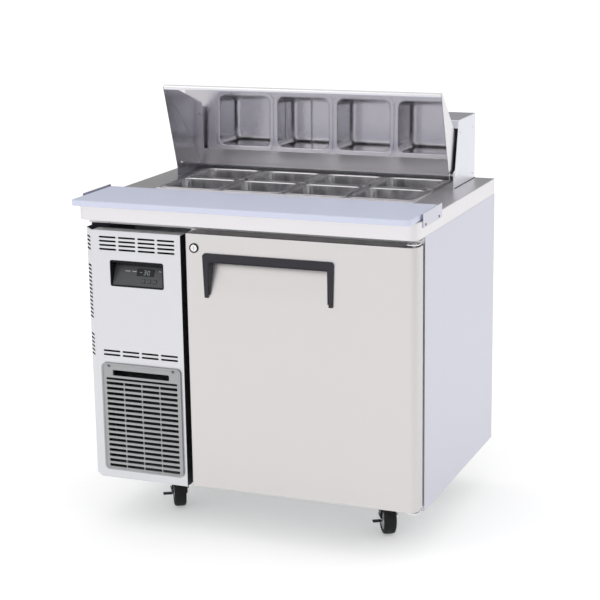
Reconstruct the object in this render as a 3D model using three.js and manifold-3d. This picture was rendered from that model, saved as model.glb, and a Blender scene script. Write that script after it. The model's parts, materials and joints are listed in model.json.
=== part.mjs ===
// Refrigerated sandwich prep table: a stainless counter with a pan well under a tilting hood,
// one cold cupboard with a hinged door, and a machine compartment behind a louvred panel.
// Millimetres. X runs right, Y runs back from the worktop's front face, Z runs up from the floor.
import * as THREE from 'three';
import { mergeVertices } from 'three/addons/utils/BufferGeometryUtils.js';
import Module from 'manifold-3d';

const wasm = await Module();
wasm.setup();

// ---------- driving dimensions ----------
const HALF_WIDTH = 450;
const DEPTH = 670;
const TOP_Z = 850;
const APRON = 41;
const SHEET = 1.5;
const GAP = 0.3;
const TOP_CORNER_R = 30;

const FACE_Y = 61;            // front of the cabinet body
const CABINET_Z = 122;        // underside of the cabinet
const APRON_Z = TOP_Z - APRON;

const BOARD_FRONT = -38;
const BOARD_BACK = 178;
const BOARD_THICK = 15;

const PAN_COLS = 4;
const PAN_ROWS = 2;
const PAN_PITCH_X = 176.5;
const PAN_PITCH_Y = 164;
const PAN_DEPTH = 100;
const PAN_RIM = 1.2;
const WELL = { x: 356, y0: 257, y1: 593, rim: 853 };

const HOOD = { x: 395, foot: 474, brow: 511, back: 668, top: 1024, lip: 21 };
const LID = { x: 388.4, thick: 1.2, pivot: [486, 884], pin: 4 };

const DOOR = { x0: -152, x1: 448, y0: 6, y1: 52, z0: 134, z1: 791 };
const DOOR_PIN = { x: 433, y: 28, r: 5 };
const PANEL = { x0: -450, x1: -172, y: 20, z0: 124, z1: 781, corner: 30 };

const CASTER = { x: 296, front: 216, back: 560, r: 45, tread: 32, trail: 30, turn: 30 };

// ---------- materials ----------
const finish = (color, roughness, metalness) => new THREE.MeshStandardMaterial({ color, roughness, metalness });
const STEEL = finish(0xd6d5d3, 0.35, 0.9);
const MIRROR = finish(0xc9c8cc, 0.08, 1);
const GALVANISED = finish(0x9a9da1, 0.5, 0.8);
const BOARD_PLASTIC = finish(0xe2e5f2, 0.45, 0);
const CHARCOAL = finish(0x37373d, 0.55, 0);
const GRILLE_GREY = finish(0x9b9c9e, 0.6, 0);
const BLACK_RUBBER = finish(0x141416, 0.7, 0);
const BLACK_PLASTIC = finish(0x1a1a1c, 0.4, 0);
const WINDOW_DARK = finish(0x2a1512, 0.15, 0);
const CHROME = finish(0xd9dadc, 0.12, 1);
const LINER = finish(0xcfd2d4, 0.4, 0.7);

// ---------- shape helpers ----------
function solid(geometry) {
  geometry.deleteAttribute('normal');
  geometry.deleteAttribute('uv');
  const merged = mergeVertices(geometry);
  const triVerts = new Uint32Array(merged.index.array);
  const vertProperties = new Float32Array(merged.attributes.position.array);
  return new wasm.Manifold(new wasm.Mesh({ numProp: 3, vertProperties, triVerts }));
}

function box(x0, x1, y0, y1, z0, z1) {
  const geometry = new THREE.BoxGeometry(x1 - x0, y1 - y0, z1 - z0);
  geometry.translate((x0 + x1) / 2, (y0 + y1) / 2, (z0 + z1) / 2);
  return solid(geometry);
}

// A flat shape drawn in (x,y), (y,z) or (x,z) and extruded along the remaining axis.
const AXES = {
  z: [[1, 0, 0], [0, 1, 0], [0, 0, 1]],
  x: [[0, 1, 0], [0, 0, 1], [1, 0, 0]],
  y: [[1, 0, 0], [0, 0, 1], [0, -1, 0]],
};
function extrude(axis, shape, from, to, curveSegments = 3) {
  const geometry = new THREE.ExtrudeGeometry(shape, { depth: to - from, bevelEnabled: false, curveSegments });
  const [u, v, w] = AXES[axis].map((a) => new THREE.Vector3(...a));
  geometry.applyMatrix4(new THREE.Matrix4().makeBasis(u, v, w));
  geometry.translate(...w.multiplyScalar(axis === 'y' ? -to : from).toArray());
  return solid(geometry);
}

function rod(axis, radius, from, to, a, b, sides = 20) {
  const shape = new THREE.Shape();
  shape.absarc(a, b, radius, 0, 2 * Math.PI);
  return extrude(axis, shape, from, to, sides / 2);
}

function outline(points) {
  return new THREE.Shape(points.map(([a, b]) => new THREE.Vector2(a, b)));
}

function roundedRect(x0, x1, y0, y1, [frontLeft, frontRight, backRight, backLeft]) {
  const shape = new THREE.Shape();
  shape.moveTo(x0 + frontLeft, y0);
  shape.lineTo(x1 - frontRight, y0);
  if (frontRight) shape.absarc(x1 - frontRight, y0 + frontRight, frontRight, -Math.PI / 2, 0);
  shape.lineTo(x1, y1 - backRight);
  if (backRight) shape.absarc(x1 - backRight, y1 - backRight, backRight, 0, Math.PI / 2);
  shape.lineTo(x0 + backLeft, y1);
  if (backLeft) shape.absarc(x0 + backLeft, y1 - backLeft, backLeft, Math.PI / 2, Math.PI);
  shape.lineTo(x0, y0 + frontLeft);
  if (frontLeft) shape.absarc(x0 + frontLeft, y0 + frontLeft, frontLeft, Math.PI, 1.5 * Math.PI);
  return shape;
}

function arc(cx, cy, radius, from, to, steps) {
  return Array.from({ length: steps + 1 }, (_, i) => {
    const angle = from + ((to - from) * i) / steps;
    return [cx + radius * Math.cos(angle), cy + radius * Math.sin(angle)];
  });
}

// Folded sheet metal: the band between two parallel offsets to the left of an open line.
function foldedSheet(points, near, far) {
  const line = points.map(([a, b]) => new THREE.Vector2(a, b));
  const normals = line.slice(1).map((p, i) => new THREE.Vector2(line[i].y - p.y, p.x - line[i].x).normalize());
  const offset = (distance) => line.map((p, i) => {
    const mitre = normals[Math.max(i - 1, 0)].clone().add(normals[Math.min(i, normals.length - 1)]);
    return p.clone().addScaledVector(mitre, (2 * distance) / mitre.lengthSq());
  });
  return new THREE.Shape([...offset(near), ...offset(far).reverse()]);
}

const union = (pieces) => pieces.reduce((a, b) => a.add(b));
const cut = (piece, tools) => tools.reduce((a, b) => a.subtract(b), piece);

const table = new THREE.Group();

function add(name, piece, material, parent = table) {
  const { vertProperties, triVerts } = piece.getMesh();
  const geometry = new THREE.BufferGeometry();
  geometry.setAttribute('position', new THREE.BufferAttribute(vertProperties, 3));
  geometry.setIndex(new THREE.BufferAttribute(triVerts, 1));
  geometry.computeVertexNormals();
  const mesh = new THREE.Mesh(geometry, material);
  mesh.name = name;
  parent.add(mesh);
  return mesh;
}

// ---------- worktop and cabinet shell ----------
function worktop() {
  const r = TOP_CORNER_R;
  const w = HALF_WIDTH;
  const inside = w - SHEET;
  const shell = extrude('z', roundedRect(-w, w, 0, DEPTH, [r, r, 0, 0]), APRON_Z, TOP_Z);
  const ri = r - SHEET;
  const hollow = roundedRect(-inside, inside, SHEET, DEPTH - SHEET, [ri, ri, 0, 0]);
  const well = box(-WELL.x, WELL.x, WELL.y0, WELL.y1, APRON_Z, TOP_Z + 1);
  return cut(shell, [extrude('z', hollow, APRON_Z - 1, TOP_Z - SHEET), well]);
}
add('worktop', worktop(), STEEL);

const SIDE_BACK = DEPTH - SHEET - GAP;
const SIDE_TOP = APRON_Z - GAP;
const PANEL_RETURN = 75;
add('side_panel_right', box(HALF_WIDTH - SHEET, HALF_WIDTH, FACE_Y, SIDE_BACK, CABINET_Z, SIDE_TOP), STEEL);
add(
  'side_panel_left',
  box(-HALF_WIDTH, -HALF_WIDTH + SHEET, PANEL_RETURN + GAP, SIDE_BACK, CABINET_Z, SIDE_TOP),
  STEEL,
);

// The rear panel breathes through slots behind the machine compartment. A round hole below them
// is the way in for the supply lead.
const BACK_SLOT = { columns: [-400, -290], rows: 8, z0: 240, pitch: 26, wide: 90, tall: 8 };
const LEAD_HOLE = { x: -200, z: 180, r: 11 };
function backPanel() {
  const holes = [rod('y', LEAD_HOLE.r, DEPTH - 5, DEPTH + 1, LEAD_HOLE.x, LEAD_HOLE.z)];
  for (const x of BACK_SLOT.columns) {
    for (let row = 0; row < BACK_SLOT.rows; row += 1) {
      const z = BACK_SLOT.z0 + row * BACK_SLOT.pitch;
      holes.push(box(x, x + BACK_SLOT.wide, DEPTH - 5, DEPTH + 1, z, z + BACK_SLOT.tall));
    }
  }
  return cut(box(-HALF_WIDTH, HALF_WIDTH, DEPTH - SHEET, DEPTH, CABINET_Z, SIDE_TOP), holes);
}
add('back_panel', backPanel(), GALVANISED);

// The base tray carries the four caster plates.
const PLATE_Z = CABINET_Z - 4;
const CASTER_SPOTS = [
  ['front_left', -CASTER.x, CASTER.front],
  ['front_right', CASTER.x, CASTER.front],
  ['back_left', -CASTER.x, CASTER.back],
  ['back_right', CASTER.x, CASTER.back],
];
const CASTER_PLATE = { x: 42, y: 48 };
const TRAY_THICK = 3;
function baseTray() {
  const w = HALF_WIDTH - SHEET - GAP;
  const { x: px, y: py } = CASTER_PLATE;
  const plates = CASTER_SPOTS.map(([, x, y]) => box(x - px, x + px, y - py, y + py, PLATE_Z, CABINET_Z + 1));
  return union([box(-w, w, FACE_Y + GAP, SIDE_BACK - GAP, CABINET_Z, CABINET_Z + TRAY_THICK), ...plates]);
}
add('base_tray', baseTray(), GALVANISED);

// The foamed cold body: the cupboard, and a shallow trough that carries the pan well over the machine.
const COLD = { x0: -160, x1: HALF_WIDTH - SHEET - GAP, top: SIDE_TOP - GAP };
const TROUGH = { x0: -400, y0: 215, z0: 735 };
const WELL_CLEAR = 2;
const CUPBOARD = { x0: -112, x1: 400, y1: 620, z0: 170, z1: 755 };
function coldBody() {
  const y1 = SIDE_BACK - GAP;
  const z0 = CABINET_Z + TRAY_THICK + GAP;
  const cupboard = box(COLD.x0, COLD.x1, FACE_Y, y1, z0, COLD.top);
  const trough = box(TROUGH.x0, COLD.x0 + 1, TROUGH.y0, y1, TROUGH.z0, COLD.top);
  const store = box(CUPBOARD.x0, CUPBOARD.x1, FACE_Y - 1, CUPBOARD.y1, CUPBOARD.z0, CUPBOARD.z1);
  const wellX = WELL.x + WELL_CLEAR;
  const well = box(-wellX, wellX, WELL.y0 - WELL_CLEAR, WELL.y1 + WELL_CLEAR, CUPBOARD.z1 - 8, COLD.top + 1);
  return cut(union([cupboard, trough]), [store, well]);
}
add('cold_body', coldBody(), LINER);

// A rail closes the gap between the door and the apron, as far as the upper hinge.
const RAIL = { x0: -446, x1: 404, z0: 792, deep: 5 };
add('front_rail', box(RAIL.x0, RAIL.x1, FACE_Y - RAIL.deep, FACE_Y - GAP, RAIL.z0, SIDE_TOP), STEEL);

// ---------- shelf inside the cupboard ----------
const SHELF_Z = 430;
const SHELF = { x0: CUPBOARD.x0 + 14, x1: CUPBOARD.x1 - 14, y0: 80, y1: 525 };
for (const [side, x0, x1] of [
  ['left', CUPBOARD.x0 + GAP, CUPBOARD.x0 + 20],
  ['right', CUPBOARD.x1 - 20, CUPBOARD.x1 - GAP],
]) {
  add(`shelf_rail_${side}`, box(x0, x1, SHELF.y0, SHELF.y1, SHELF_Z - 12, SHELF_Z - GAP), STEEL);
}

const CROSS_BAR = 6;
const WIRE = 4;
const WIRES = 11;
function wireShelf() {
  const bars = [];
  for (const y of [SHELF.y0, (SHELF.y0 + SHELF.y1) / 2, SHELF.y1 - CROSS_BAR]) {
    bars.push(box(SHELF.x0, SHELF.x1, y, y + CROSS_BAR, SHELF_Z, SHELF_Z + CROSS_BAR));
  }
  for (let i = 0; i < WIRES; i += 1) {
    const x = SHELF.x0 + ((SHELF.x1 - SHELF.x0 - WIRE) * i) / (WIRES - 1);
    bars.push(box(x, x + WIRE, SHELF.y0 + 1, SHELF.y1 - 1, SHELF_Z + 3, SHELF_Z + 8));
  }
  return union(bars);
}
add('wire_shelf', wireShelf(), CHROME);

// ---------- evaporator unit at the back of the cupboard ----------
const EVAPORATOR = { x0: -60, x1: 350, y0: 545, z0: 560, z1: 735, duct: 600 };
const FAN_MOUTH = { x: 145, z: 648, r: 62 };
const OUTLET = { xs: [-45, 275], wide: 60, z0: 575, z1: 600 };
function evaporatorCover() {
  const { x0, x1, y0, z0, z1, duct } = EVAPORATOR;
  const shell = box(x0, x1, y0, CUPBOARD.y1 - GAP, z0, z1);
  const mouth = rod('y', FAN_MOUTH.r, y0 - 1, duct, FAN_MOUTH.x, FAN_MOUTH.z);
  const outlets = OUTLET.xs.map((x) => box(x, x + OUTLET.wide, y0 - 1, duct, OUTLET.z0, OUTLET.z1));
  return cut(shell, [mouth, ...outlets]);
}
add('evaporator_cover', evaporatorCover(), LINER);

// ---------- machine compartment ----------
function compressor() {
  const profile = [[0, 0], [78, 0], [78, 8], [64, 14], [70, 26], [72, 100], [66, 132], [48, 152], [0, 160]];
  const dome = new THREE.LatheGeometry(profile.map(([r, z]) => new THREE.Vector2(r, z)), 16);
  dome.rotateX(Math.PI / 2);
  return solid(dome);
}
add('compressor', compressor(), BLACK_PLASTIC).position.set(-310, 450, CABINET_Z + TRAY_THICK + GAP);

const COIL = { x0: -405, x1: -185, y0: 66, y1: 104, z0: 150, z1: 425 };
const FIN = 3;
const FINS = 10;
function condenser() {
  const fins = [box(COIL.x0, COIL.x1, COIL.y0 + 14, COIL.y0 + 24, COIL.z0, COIL.z1)];
  for (let i = 0; i < FINS; i += 1) {
    const x = COIL.x0 + ((COIL.x1 - COIL.x0 - FIN) * i) / (FINS - 1);
    fins.push(box(x, x + FIN, COIL.y0, COIL.y1, COIL.z0, COIL.z1));
  }
  return union(fins);
}
add('condenser_coil', condenser(), finish(0xb0783c, 0.45, 0.8));

// The shroud plate carries the fan's motor on a strap behind the blades.
const FAN = { x: -295, z: 290, r: 88, hub: 20, front: 118, motor: 150 };
function fanShroud() {
  const { x, z, motor } = FAN;
  const strapBack = motor + 8;
  const plate = box(COIL.x0, COIL.x1, COIL.y1 + GAP, COIL.y1 + 3, COIL.z0, COIL.z1);
  const throat = rod('y', FAN.r + 6, COIL.y1 - 1, COIL.y1 + 4, x, z, 24);
  const strap = [box(COIL.x0, COIL.x1, motor + 2, strapBack, z - 6, z + 6)];
  for (const armX of [COIL.x0, COIL.x1 - 8]) {
    strap.push(box(armX, armX + 8, COIL.y1 + 1, strapBack, z - 6, z + 6));
  }
  return union([cut(plate, [throat]), rod('y', 28, motor, motor + 50, x, z), ...strap]);
}
add('condenser_fan_shroud', fanShroud(), BLACK_PLASTIC);

function fanBlade() {
  const parts = [rod('y', FAN.hub, FAN.front, FAN.motor - GAP, 0, 0)];
  const blades = 5;
  const root = FAN.hub / 2;
  for (let i = 0; i < blades; i += 1) {
    const blade = new THREE.BoxGeometry(FAN.r - root, 2.5, 42);
    blade.rotateX(0.5);
    blade.translate((FAN.r + root) / 2, FAN.front + 13, 0);
    blade.rotateY((i * 2 * Math.PI) / blades);
    parts.push(solid(blade));
  }
  return union(parts);
}
add('condenser_fan_blade', fanBlade(), CHARCOAL).position.set(FAN.x, 0, FAN.z);

// ---------- louvred front panel ----------
const LOUVRE_PITCH = 10.4;
const LOUVRE_TALL = 5;
const COLUMN_PITCH = 54.5;
const COLUMN_WIDE = 48.3;
const LOUVRE_X0 = -399.8;
const FACE_SLOTS = [[766.4, 4], [469.3, 2]];
const CORNER_SLOTS = [[762, 4], [687, 14], [505, 6]];
const CONTROL = { x0: -371, x1: -221, z0: 638, z1: 706 };
const GRILLE = { x0: -406, x1: -181, z0: 147, z1: 435, y: 15.7, thick: 4 };

function frontPanel() {
  const { x0, x1, y, corner } = PANEL;
  const line = [[x1, y + 25], [x1, y], [x0 + corner, y], [x0, y + corner], [x0, PANEL_RETURN]];
  const sheet = extrude('z', foldedSheet(line, -SHEET, 0), PANEL.z0, PANEL.z1);
  // The top edge is turned back as far as the rail.
  const flange = box(x0 + corner, x1, y + 1, FACE_Y - RAIL.deep - GAP, PANEL.z1 - SHEET, PANEL.z1);
  const holes = [
    box(CONTROL.x0, CONTROL.x1, y - 1, y + 3, CONTROL.z0, CONTROL.z1),
    box(GRILLE.x0 + 8, GRILLE.x1 - 8, y - 1, y + 3, GRILLE.z0 + 8, GRILLE.z1 - 8),
  ];
  for (const [top, rows] of FACE_SLOTS) {
    for (let row = 0; row < rows; row += 1) {
      for (let column = 0; column < 4; column += 1) {
        const x = LOUVRE_X0 + column * COLUMN_PITCH;
        const z = top - row * LOUVRE_PITCH;
        holes.push(box(x, x + COLUMN_WIDE, y - 1, y + 3, z - LOUVRE_TALL, z));
      }
    }
  }
  // Slots in the slanting corner, in three groups.
  for (const [top, rows] of CORNER_SLOTS) {
    for (let row = 0; row < rows; row += 1) {
      const z = top - row * LOUVRE_PITCH;
      holes.push(box(x0 - 1, x0 + 21, y + 9, y + 31, z - LOUVRE_TALL, z));
    }
  }
  return cut(union([sheet, flange]), holes);
}
add('louvred_front_panel', frontPanel(), STEEL);

// ---------- removable grille ----------
const GRILLE_SCREWS = [['left', -384], ['right', -201.5]];
const SCREW_Z = 428.5;
const FINGER_SLOT = { x0: -374, x1: -213.5, z0: 402.5, z1: 417.5 };
const LONG_SLOT = { x0: -393, x1: -191, z0: 390.5, z1: 396.5 };
const GRILLE_SLOT = { x0: -393, z0: 155.4, wide: 49, tall: 7.8 };
const GRILLE_GRID = { pitchX: 51, pitchZ: 13.87, columns: 4, rows: 17 };
function grille() {
  const { x0, x1, z0, z1, y, thick } = GRILLE;
  const plate = extrude('y', roundedRect(x0, x1, z0, z1, [12, 12, 12, 12]), y, y + thick);
  const through = [y - 1, y + thick + 1];
  const holes = [];
  for (const slot of [FINGER_SLOT, LONG_SLOT]) {
    holes.push(box(slot.x0, slot.x1, ...through, slot.z0, slot.z1));
  }
  for (let row = 0; row < GRILLE_GRID.rows; row += 1) {
    for (let column = 0; column < GRILLE_GRID.columns; column += 1) {
      const x = GRILLE_SLOT.x0 + column * GRILLE_GRID.pitchX;
      const z = GRILLE_SLOT.z0 + row * GRILLE_GRID.pitchZ;
      holes.push(box(x, x + GRILLE_SLOT.wide, ...through, z, z + GRILLE_SLOT.tall));
    }
  }
  for (const [, x] of GRILLE_SCREWS) holes.push(rod('y', 2.6, ...through, x, SCREW_Z, 12));
  return cut(plate, holes);
}
add('removable_grille', grille(), GRILLE_GREY);
for (const [side, x] of GRILLE_SCREWS) {
  const head = rod('y', 4.5, GRILLE.y - 1.8, GRILLE.y - GAP, x, SCREW_Z, 16);
  const shank = rod('y', 2.2, GRILLE.y - 1, GRILLE.y + GRILLE.thick - 0.1, x, SCREW_Z, 12);
  add(`grille_screw_${side}`, union([head, shank]), CHROME);
}

// ---------- temperature controller ----------
// The face leans back: its top edge is deep in the bezel and its lower edge is nearly flush.
const FACE_LOW = [22, 642];
const FACE_HIGH = [46, 689];
const FACE_TILT = Math.atan2(FACE_HIGH[0] - FACE_LOW[0], FACE_HIGH[1] - FACE_LOW[1]);
const FACE_LENGTH = Math.hypot(FACE_HIGH[0] - FACE_LOW[0], FACE_HIGH[1] - FACE_LOW[1]);
const FACE_PLATE = 2;
function controllerBezel() {
  const { x0, x1, z0, z1 } = CONTROL;
  const body = extrude('y', roundedRect(x0 + GAP, x1 - GAP, z0 + GAP, z1 - GAP, [5, 5, 5, 5]), 19, 70);
  const behind = FACE_PLATE + 6;
  const back = [FACE_HIGH[0] + behind * Math.cos(FACE_TILT), FACE_HIGH[1] - behind * Math.sin(FACE_TILT)];
  const low = [FACE_LOW[0] + behind * Math.cos(FACE_TILT), FACE_LOW[1] - behind * Math.sin(FACE_TILT)];
  const deep = outline([[18, 703], FACE_HIGH, back, low, FACE_LOW, [18, 642]]);
  return cut(body, [extrude('x', deep, x0 + 3, x1 - 3)]);
}
add('controller_bezel', controllerBezel(), BLACK_PLASTIC);

const controller = new THREE.Group();
controller.position.set((CONTROL.x0 + CONTROL.x1) / 2, ...FACE_LOW);
controller.rotation.x = -FACE_TILT;
table.add(controller);
const KEY = { size: 9, hole: 10.4, z: 14, xs: [14, 30, 46] };
const SCREEN = { x0: -8, x1: 40, z0: 27, z1: 45 };
function controllerFace() {
  const halfWidth = (CONTROL.x1 - CONTROL.x0) / 2 - 3 - GAP;
  const plate = box(-halfWidth, halfWidth, 0, FACE_PLATE, GAP, FACE_LENGTH - GAP);
  const holes = KEY.xs.map((x) => {
    const half = KEY.hole / 2;
    return box(x - half, x + half, -1, 3, KEY.z - half, KEY.z + half);
  });
  return cut(plate, holes);
}
add('controller_face', controllerFace(), CHARCOAL, controller);
add('display_window', box(SCREEN.x0, SCREEN.x1, -1.3, -GAP, SCREEN.z0, SCREEN.z1), WINDOW_DARK, controller);
KEY.xs.forEach((x, i) => {
  const half = KEY.size / 2;
  const key = box(-half, half, -1.4, 3.4, -half, half);
  add(`controller_key_${i + 1}`, key, BLACK_PLASTIC, controller).position.set(x, 0, KEY.z);
});

// ---------- fixed rear hood ----------
// An open-fronted cowl over the back row of pans. Its sides carry the lid's pivots.
const PIVOT_HOLE = LID.pin + 0.1;
function rearHood() {
  const z0 = TOP_Z + GAP;
  const inside = HOOD.x - SHEET;
  const lean = (z) => HOOD.foot + ((HOOD.brow - HOOD.foot) * (z - TOP_Z)) / (HOOD.top - TOP_Z);
  const ear = [[LID.pivot[0] - 16, z0], [LID.pivot[0] - 16, LID.pivot[1] + 10], [lean(898), 898]];
  const side = outline([...ear, [HOOD.brow, HOOD.top], [HOOD.back, HOOD.top], [HOOD.back, z0]]);
  const [py, pz] = LID.pivot;
  const hole = rod('x', PIVOT_HOLE, -HOOD.x - 1, HOOD.x + 1, py, pz);
  const lipFoot = [lean(HOOD.top - HOOD.lip), HOOD.top - HOOD.lip];
  const roofLine = [lipFoot, [HOOD.brow, HOOD.top], [HOOD.back, HOOD.top], [HOOD.back, z0]];
  const roof = extrude('x', foldedSheet(roofLine, -SHEET, 0), -HOOD.x, HOOD.x);
  const sides = [[-HOOD.x, -inside], [inside, HOOD.x]].map(([a, b]) => extrude('x', side, a, b));
  return cut(union([roof, ...sides]), [hole]);
}
add('rear_hood', rearHood(), STEEL);

for (const [side, sign] of [['left', -1], ['right', 1]]) {
  const [py, pz] = LID.pivot;
  const ends = [sign * (LID.x - 4), sign * (HOOD.x + 1.5)].sort((a, b) => a - b);
  const heads = [sign * (HOOD.x + GAP), sign * (HOOD.x + 2.3)].sort((a, b) => a - b);
  const pin = union([rod('x', LID.pin, ...ends, py, pz), rod('x', LID.pin + 3, ...heads, py, pz)]);
  add(`lid_pivot_pin_${side}`, pin, CHROME);
}

// ---------- tilting lid, standing open ----------
// A folded cover with triangular wings. Its mirror-polished liner faces the pans.
const LID_LIP = [384, 1104];
const LID_CREST = [393, 1107];
const LID_CREASE = [583, 911];
const LID_FOOT = [608, 862];
const LID_TOE = [458, 872];
const LID_HEM = [387, 1094.5];
function lidShell() {
  const cover = extrude(
    'x',
    foldedSheet([LID_HEM, LID_LIP, LID_CREST, LID_CREASE, LID_FOOT], 0, LID.thick),
    -LID.x,
    LID.x,
  );
  const wing = outline([LID_LIP, LID_TOE, LID_FOOT, LID_CREASE, LID_CREST]);
  const inside = LID.x - LID.thick;
  const wings = [[-LID.x, -inside], [inside, LID.x]].map(([a, b]) => extrude('x', wing, a, b));
  const hole = rod('x', PIVOT_HOLE, -HOOD.x, HOOD.x, ...LID.pivot);
  return cut(union([cover, ...wings]), [hole]);
}
add('lid_shell', lidShell(), STEEL);

function lidLiner() {
  const start = [LID_CREST[0] + 9, LID_CREST[1] - 9 * (196 / 190)];
  const end = [LID_FOOT[0] - 0.8, LID_FOOT[1] + 1.6];
  const half = LID.x - LID.thick - GAP;
  return extrude('x', foldedSheet([start, LID_CREASE, end], -1.3, -GAP), -half, half);
}
add('lid_mirror_liner', lidLiner(), MIRROR);

// ---------- pan well ----------
const PAN_X0 = -((PAN_COLS - 1) * PAN_PITCH_X) / 2;
const PAN_Y0 = (WELL.y0 + WELL.y1) / 2 - PAN_PITCH_Y / 2;
const PAN_BODY = { x: 154, y: 140 };
function panFrame() {
  const clear = 0.3;
  const w = WELL.x - clear;
  const frame = box(-w, w, WELL.y0 + clear, WELL.y1 - clear, TOP_Z - 12, WELL.rim - GAP);
  const holes = [];
  for (let column = 0; column < PAN_COLS; column += 1) {
    for (let row = 0; row < PAN_ROWS; row += 1) {
      const x = PAN_X0 + column * PAN_PITCH_X;
      const y = PAN_Y0 + row * PAN_PITCH_Y;
      const hx = PAN_BODY.x / 2 + 3;
      const hy = PAN_BODY.y / 2 + 3;
      holes.push(box(x - hx, x + hx, y - hy, y + hy, TOP_Z - 20, TOP_Z + 9));
    }
  }
  return cut(frame, holes);
}
add('pan_frame', panFrame(), STEEL);

// A pan's walls draw in towards its floor.
function tub(width, depth, top, bottom, radius) {
  const r = [radius, radius, radius, radius];
  const shape = roundedRect(-width / 2, width / 2, -depth / 2, depth / 2, r);
  const settings = { depth: top - bottom, bevelEnabled: false, curveSegments: 3 };
  const geometry = new THREE.ExtrudeGeometry(shape, settings);
  geometry.translate(0, 0, bottom);
  const points = geometry.attributes.position;
  for (let i = 0; i < points.count; i += 1) {
    if (points.getZ(i) < (top + bottom) / 2) {
      points.setXY(i, points.getX(i) * 0.9, points.getY(i) * 0.9);
    }
  }
  return solid(geometry);
}

function pan() {
  const { x, y } = PAN_BODY;
  const rimShape = roundedRect(-87.5, 87.5, -80.5, 80.5, [14, 14, 14, 14]);
  const rim = extrude('z', rimShape, 0, PAN_RIM);
  const body = tub(x, y, PAN_RIM, -PAN_DEPTH, 20);
  const hollow = tub(x - 2.4, y - 2.4, PAN_RIM + 1, 1.5 - PAN_DEPTH, 19);
  return union([rim, body]).subtract(hollow);
}
for (let row = 0; row < PAN_ROWS; row += 1) {
  for (let column = 0; column < PAN_COLS; column += 1) {
    const name = `pan_${row === 0 ? 'front' : 'back'}_${column + 1}`;
    const place = [PAN_X0 + column * PAN_PITCH_X, PAN_Y0 + row * PAN_PITCH_Y, WELL.rim];
    add(name, pan(), MIRROR).position.set(...place);
  }
}

// ---------- cutting board between its end brackets ----------
const BOARD_Z = TOP_Z + GAP;
add(
  'cutting_board',
  extrude('z', roundedRect(-445, 445, BOARD_FRONT, BOARD_BACK, [14, 14, 3, 3]), BOARD_Z, BOARD_Z + BOARD_THICK),
  BOARD_PLASTIC,
);

function boardBracket() {
  const plate = outline([[40, 833], [40, 868], [188, 868], [188, 833]]);
  const sheet = extrude('x', plate, HALF_WIDTH + GAP, HALF_WIDTH + GAP + SHEET);
  const heads = [59, 165].map((y) => rod('x', 3.5, HALF_WIDTH + 1, HALF_WIDTH + 3, y, 839, 12));
  return union([sheet, ...heads]);
}
add('board_bracket_right', boardBracket(), STEEL);
add('board_bracket_left', boardBracket().mirror([1, 0, 0]), STEEL);

// ---------- door ----------
const RECESS = { x0: -90, x1: 226, top: 724, bottom: 634, deep: 36 };
const LOCK = { x: -127.5, z: 755, r: 9 };
function doorPanel() {
  const { x0, x1, y0, y1, z0, z1 } = DOOR;
  const slab = extrude('z', roundedRect(x0, x1, y0, y1, [6, 22, 0, 0]), z0, z1);
  const wedge = outline([
    [y0 - 1, RECESS.top + GAP],
    [RECESS.deep, RECESS.top + GAP],
    [y0, RECESS.bottom],
    [y0 - 1, RECESS.bottom],
  ]);
  return cut(slab, [
    extrude('x', wedge, RECESS.x0 - GAP, RECESS.x1 + GAP),
    rod('z', DOOR_PIN.r + 0.1, z1 - 22, z1 + 1, DOOR_PIN.x, DOOR_PIN.y),
    rod('z', DOOR_PIN.r + 0.1, z0 - 1, z0 + 22, DOOR_PIN.x, DOOR_PIN.y),
    rod('y', LOCK.r + 0.3, y0 - 1, y0 + 22, LOCK.x, LOCK.z),
  ]);
}
add('door_panel', doorPanel(), STEEL);

add('door_liner', box(-146, 431, DOOR.y1 + GAP, DOOR.y1 + 2, 140, 785), LINER);

function doorGasket() {
  const { y1 } = DOOR;
  const ring = box(-142, 428, y1 + 2.3, FACE_Y - GAP, 146, 779);
  return cut(ring, [box(-126, 412, y1, FACE_Y + 1, 162, 763)]);
}
add('door_gasket', doorGasket(), BLACK_RUBBER);

// The pull: a bar across the top of the recess with two tapering legs and cheeks.
function doorHandle() {
  const y0 = DOOR.y0;
  const frame = outline([
    [-101, 632], [-105, 744], [241, 744], [237, 632], [233, 632], [226, 724], [-90, 724], [-97, 632],
  ]);
  const face = extrude('y', frame, y0 - 4, y0 - GAP);
  const cheek = outline([
    [y0 - 3, RECESS.top - 2],
    [RECESS.deep - 2, RECESS.top - 2],
    [y0 + 2, RECESS.bottom + 12],
    [y0 - 3, RECESS.bottom + 12],
  ]);
  const left = extrude('x', cheek, RECESS.x0 - 1, RECESS.x0 + 2.5).subtract(
    box(RECESS.x0 - 2, RECESS.x0 + GAP, y0 - GAP, 50, 600, 740),
  );
  const right = extrude('x', cheek, RECESS.x1 - 2.5, RECESS.x1 + 1).subtract(
    box(RECESS.x1 - GAP, RECESS.x1 + 2, y0 - GAP, 50, 600, 740),
  );
  const { x0, x1, top, deep } = RECESS;
  const ceiling = box(x0 + GAP, x1 - GAP, y0 - 3, deep - 2, top - 3, top - GAP);
  const lip = box(x0, x1, y0 - 4, y0 - GAP, top - 3, top + 1);
  return union([face, left, right, ceiling, lip]);
}
add('door_handle', doorHandle(), CHARCOAL);

const lockRing = rod('y', 12, DOOR.y0 - 3, DOOR.y0 - GAP, LOCK.x, LOCK.z);
add('door_lock_ring', lockRing.subtract(rod('y', LOCK.r + 0.2, -5, 10, LOCK.x, LOCK.z)), BLACK_PLASTIC);
const barrel = rod('y', LOCK.r, -2.5, 20, 0, 0).subtract(box(-0.8, 0.8, -3, 3, -4, 4));
add('door_lock_cylinder', barrel, CHROME).position.set(LOCK.x, DOOR.y0, LOCK.z);

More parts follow.
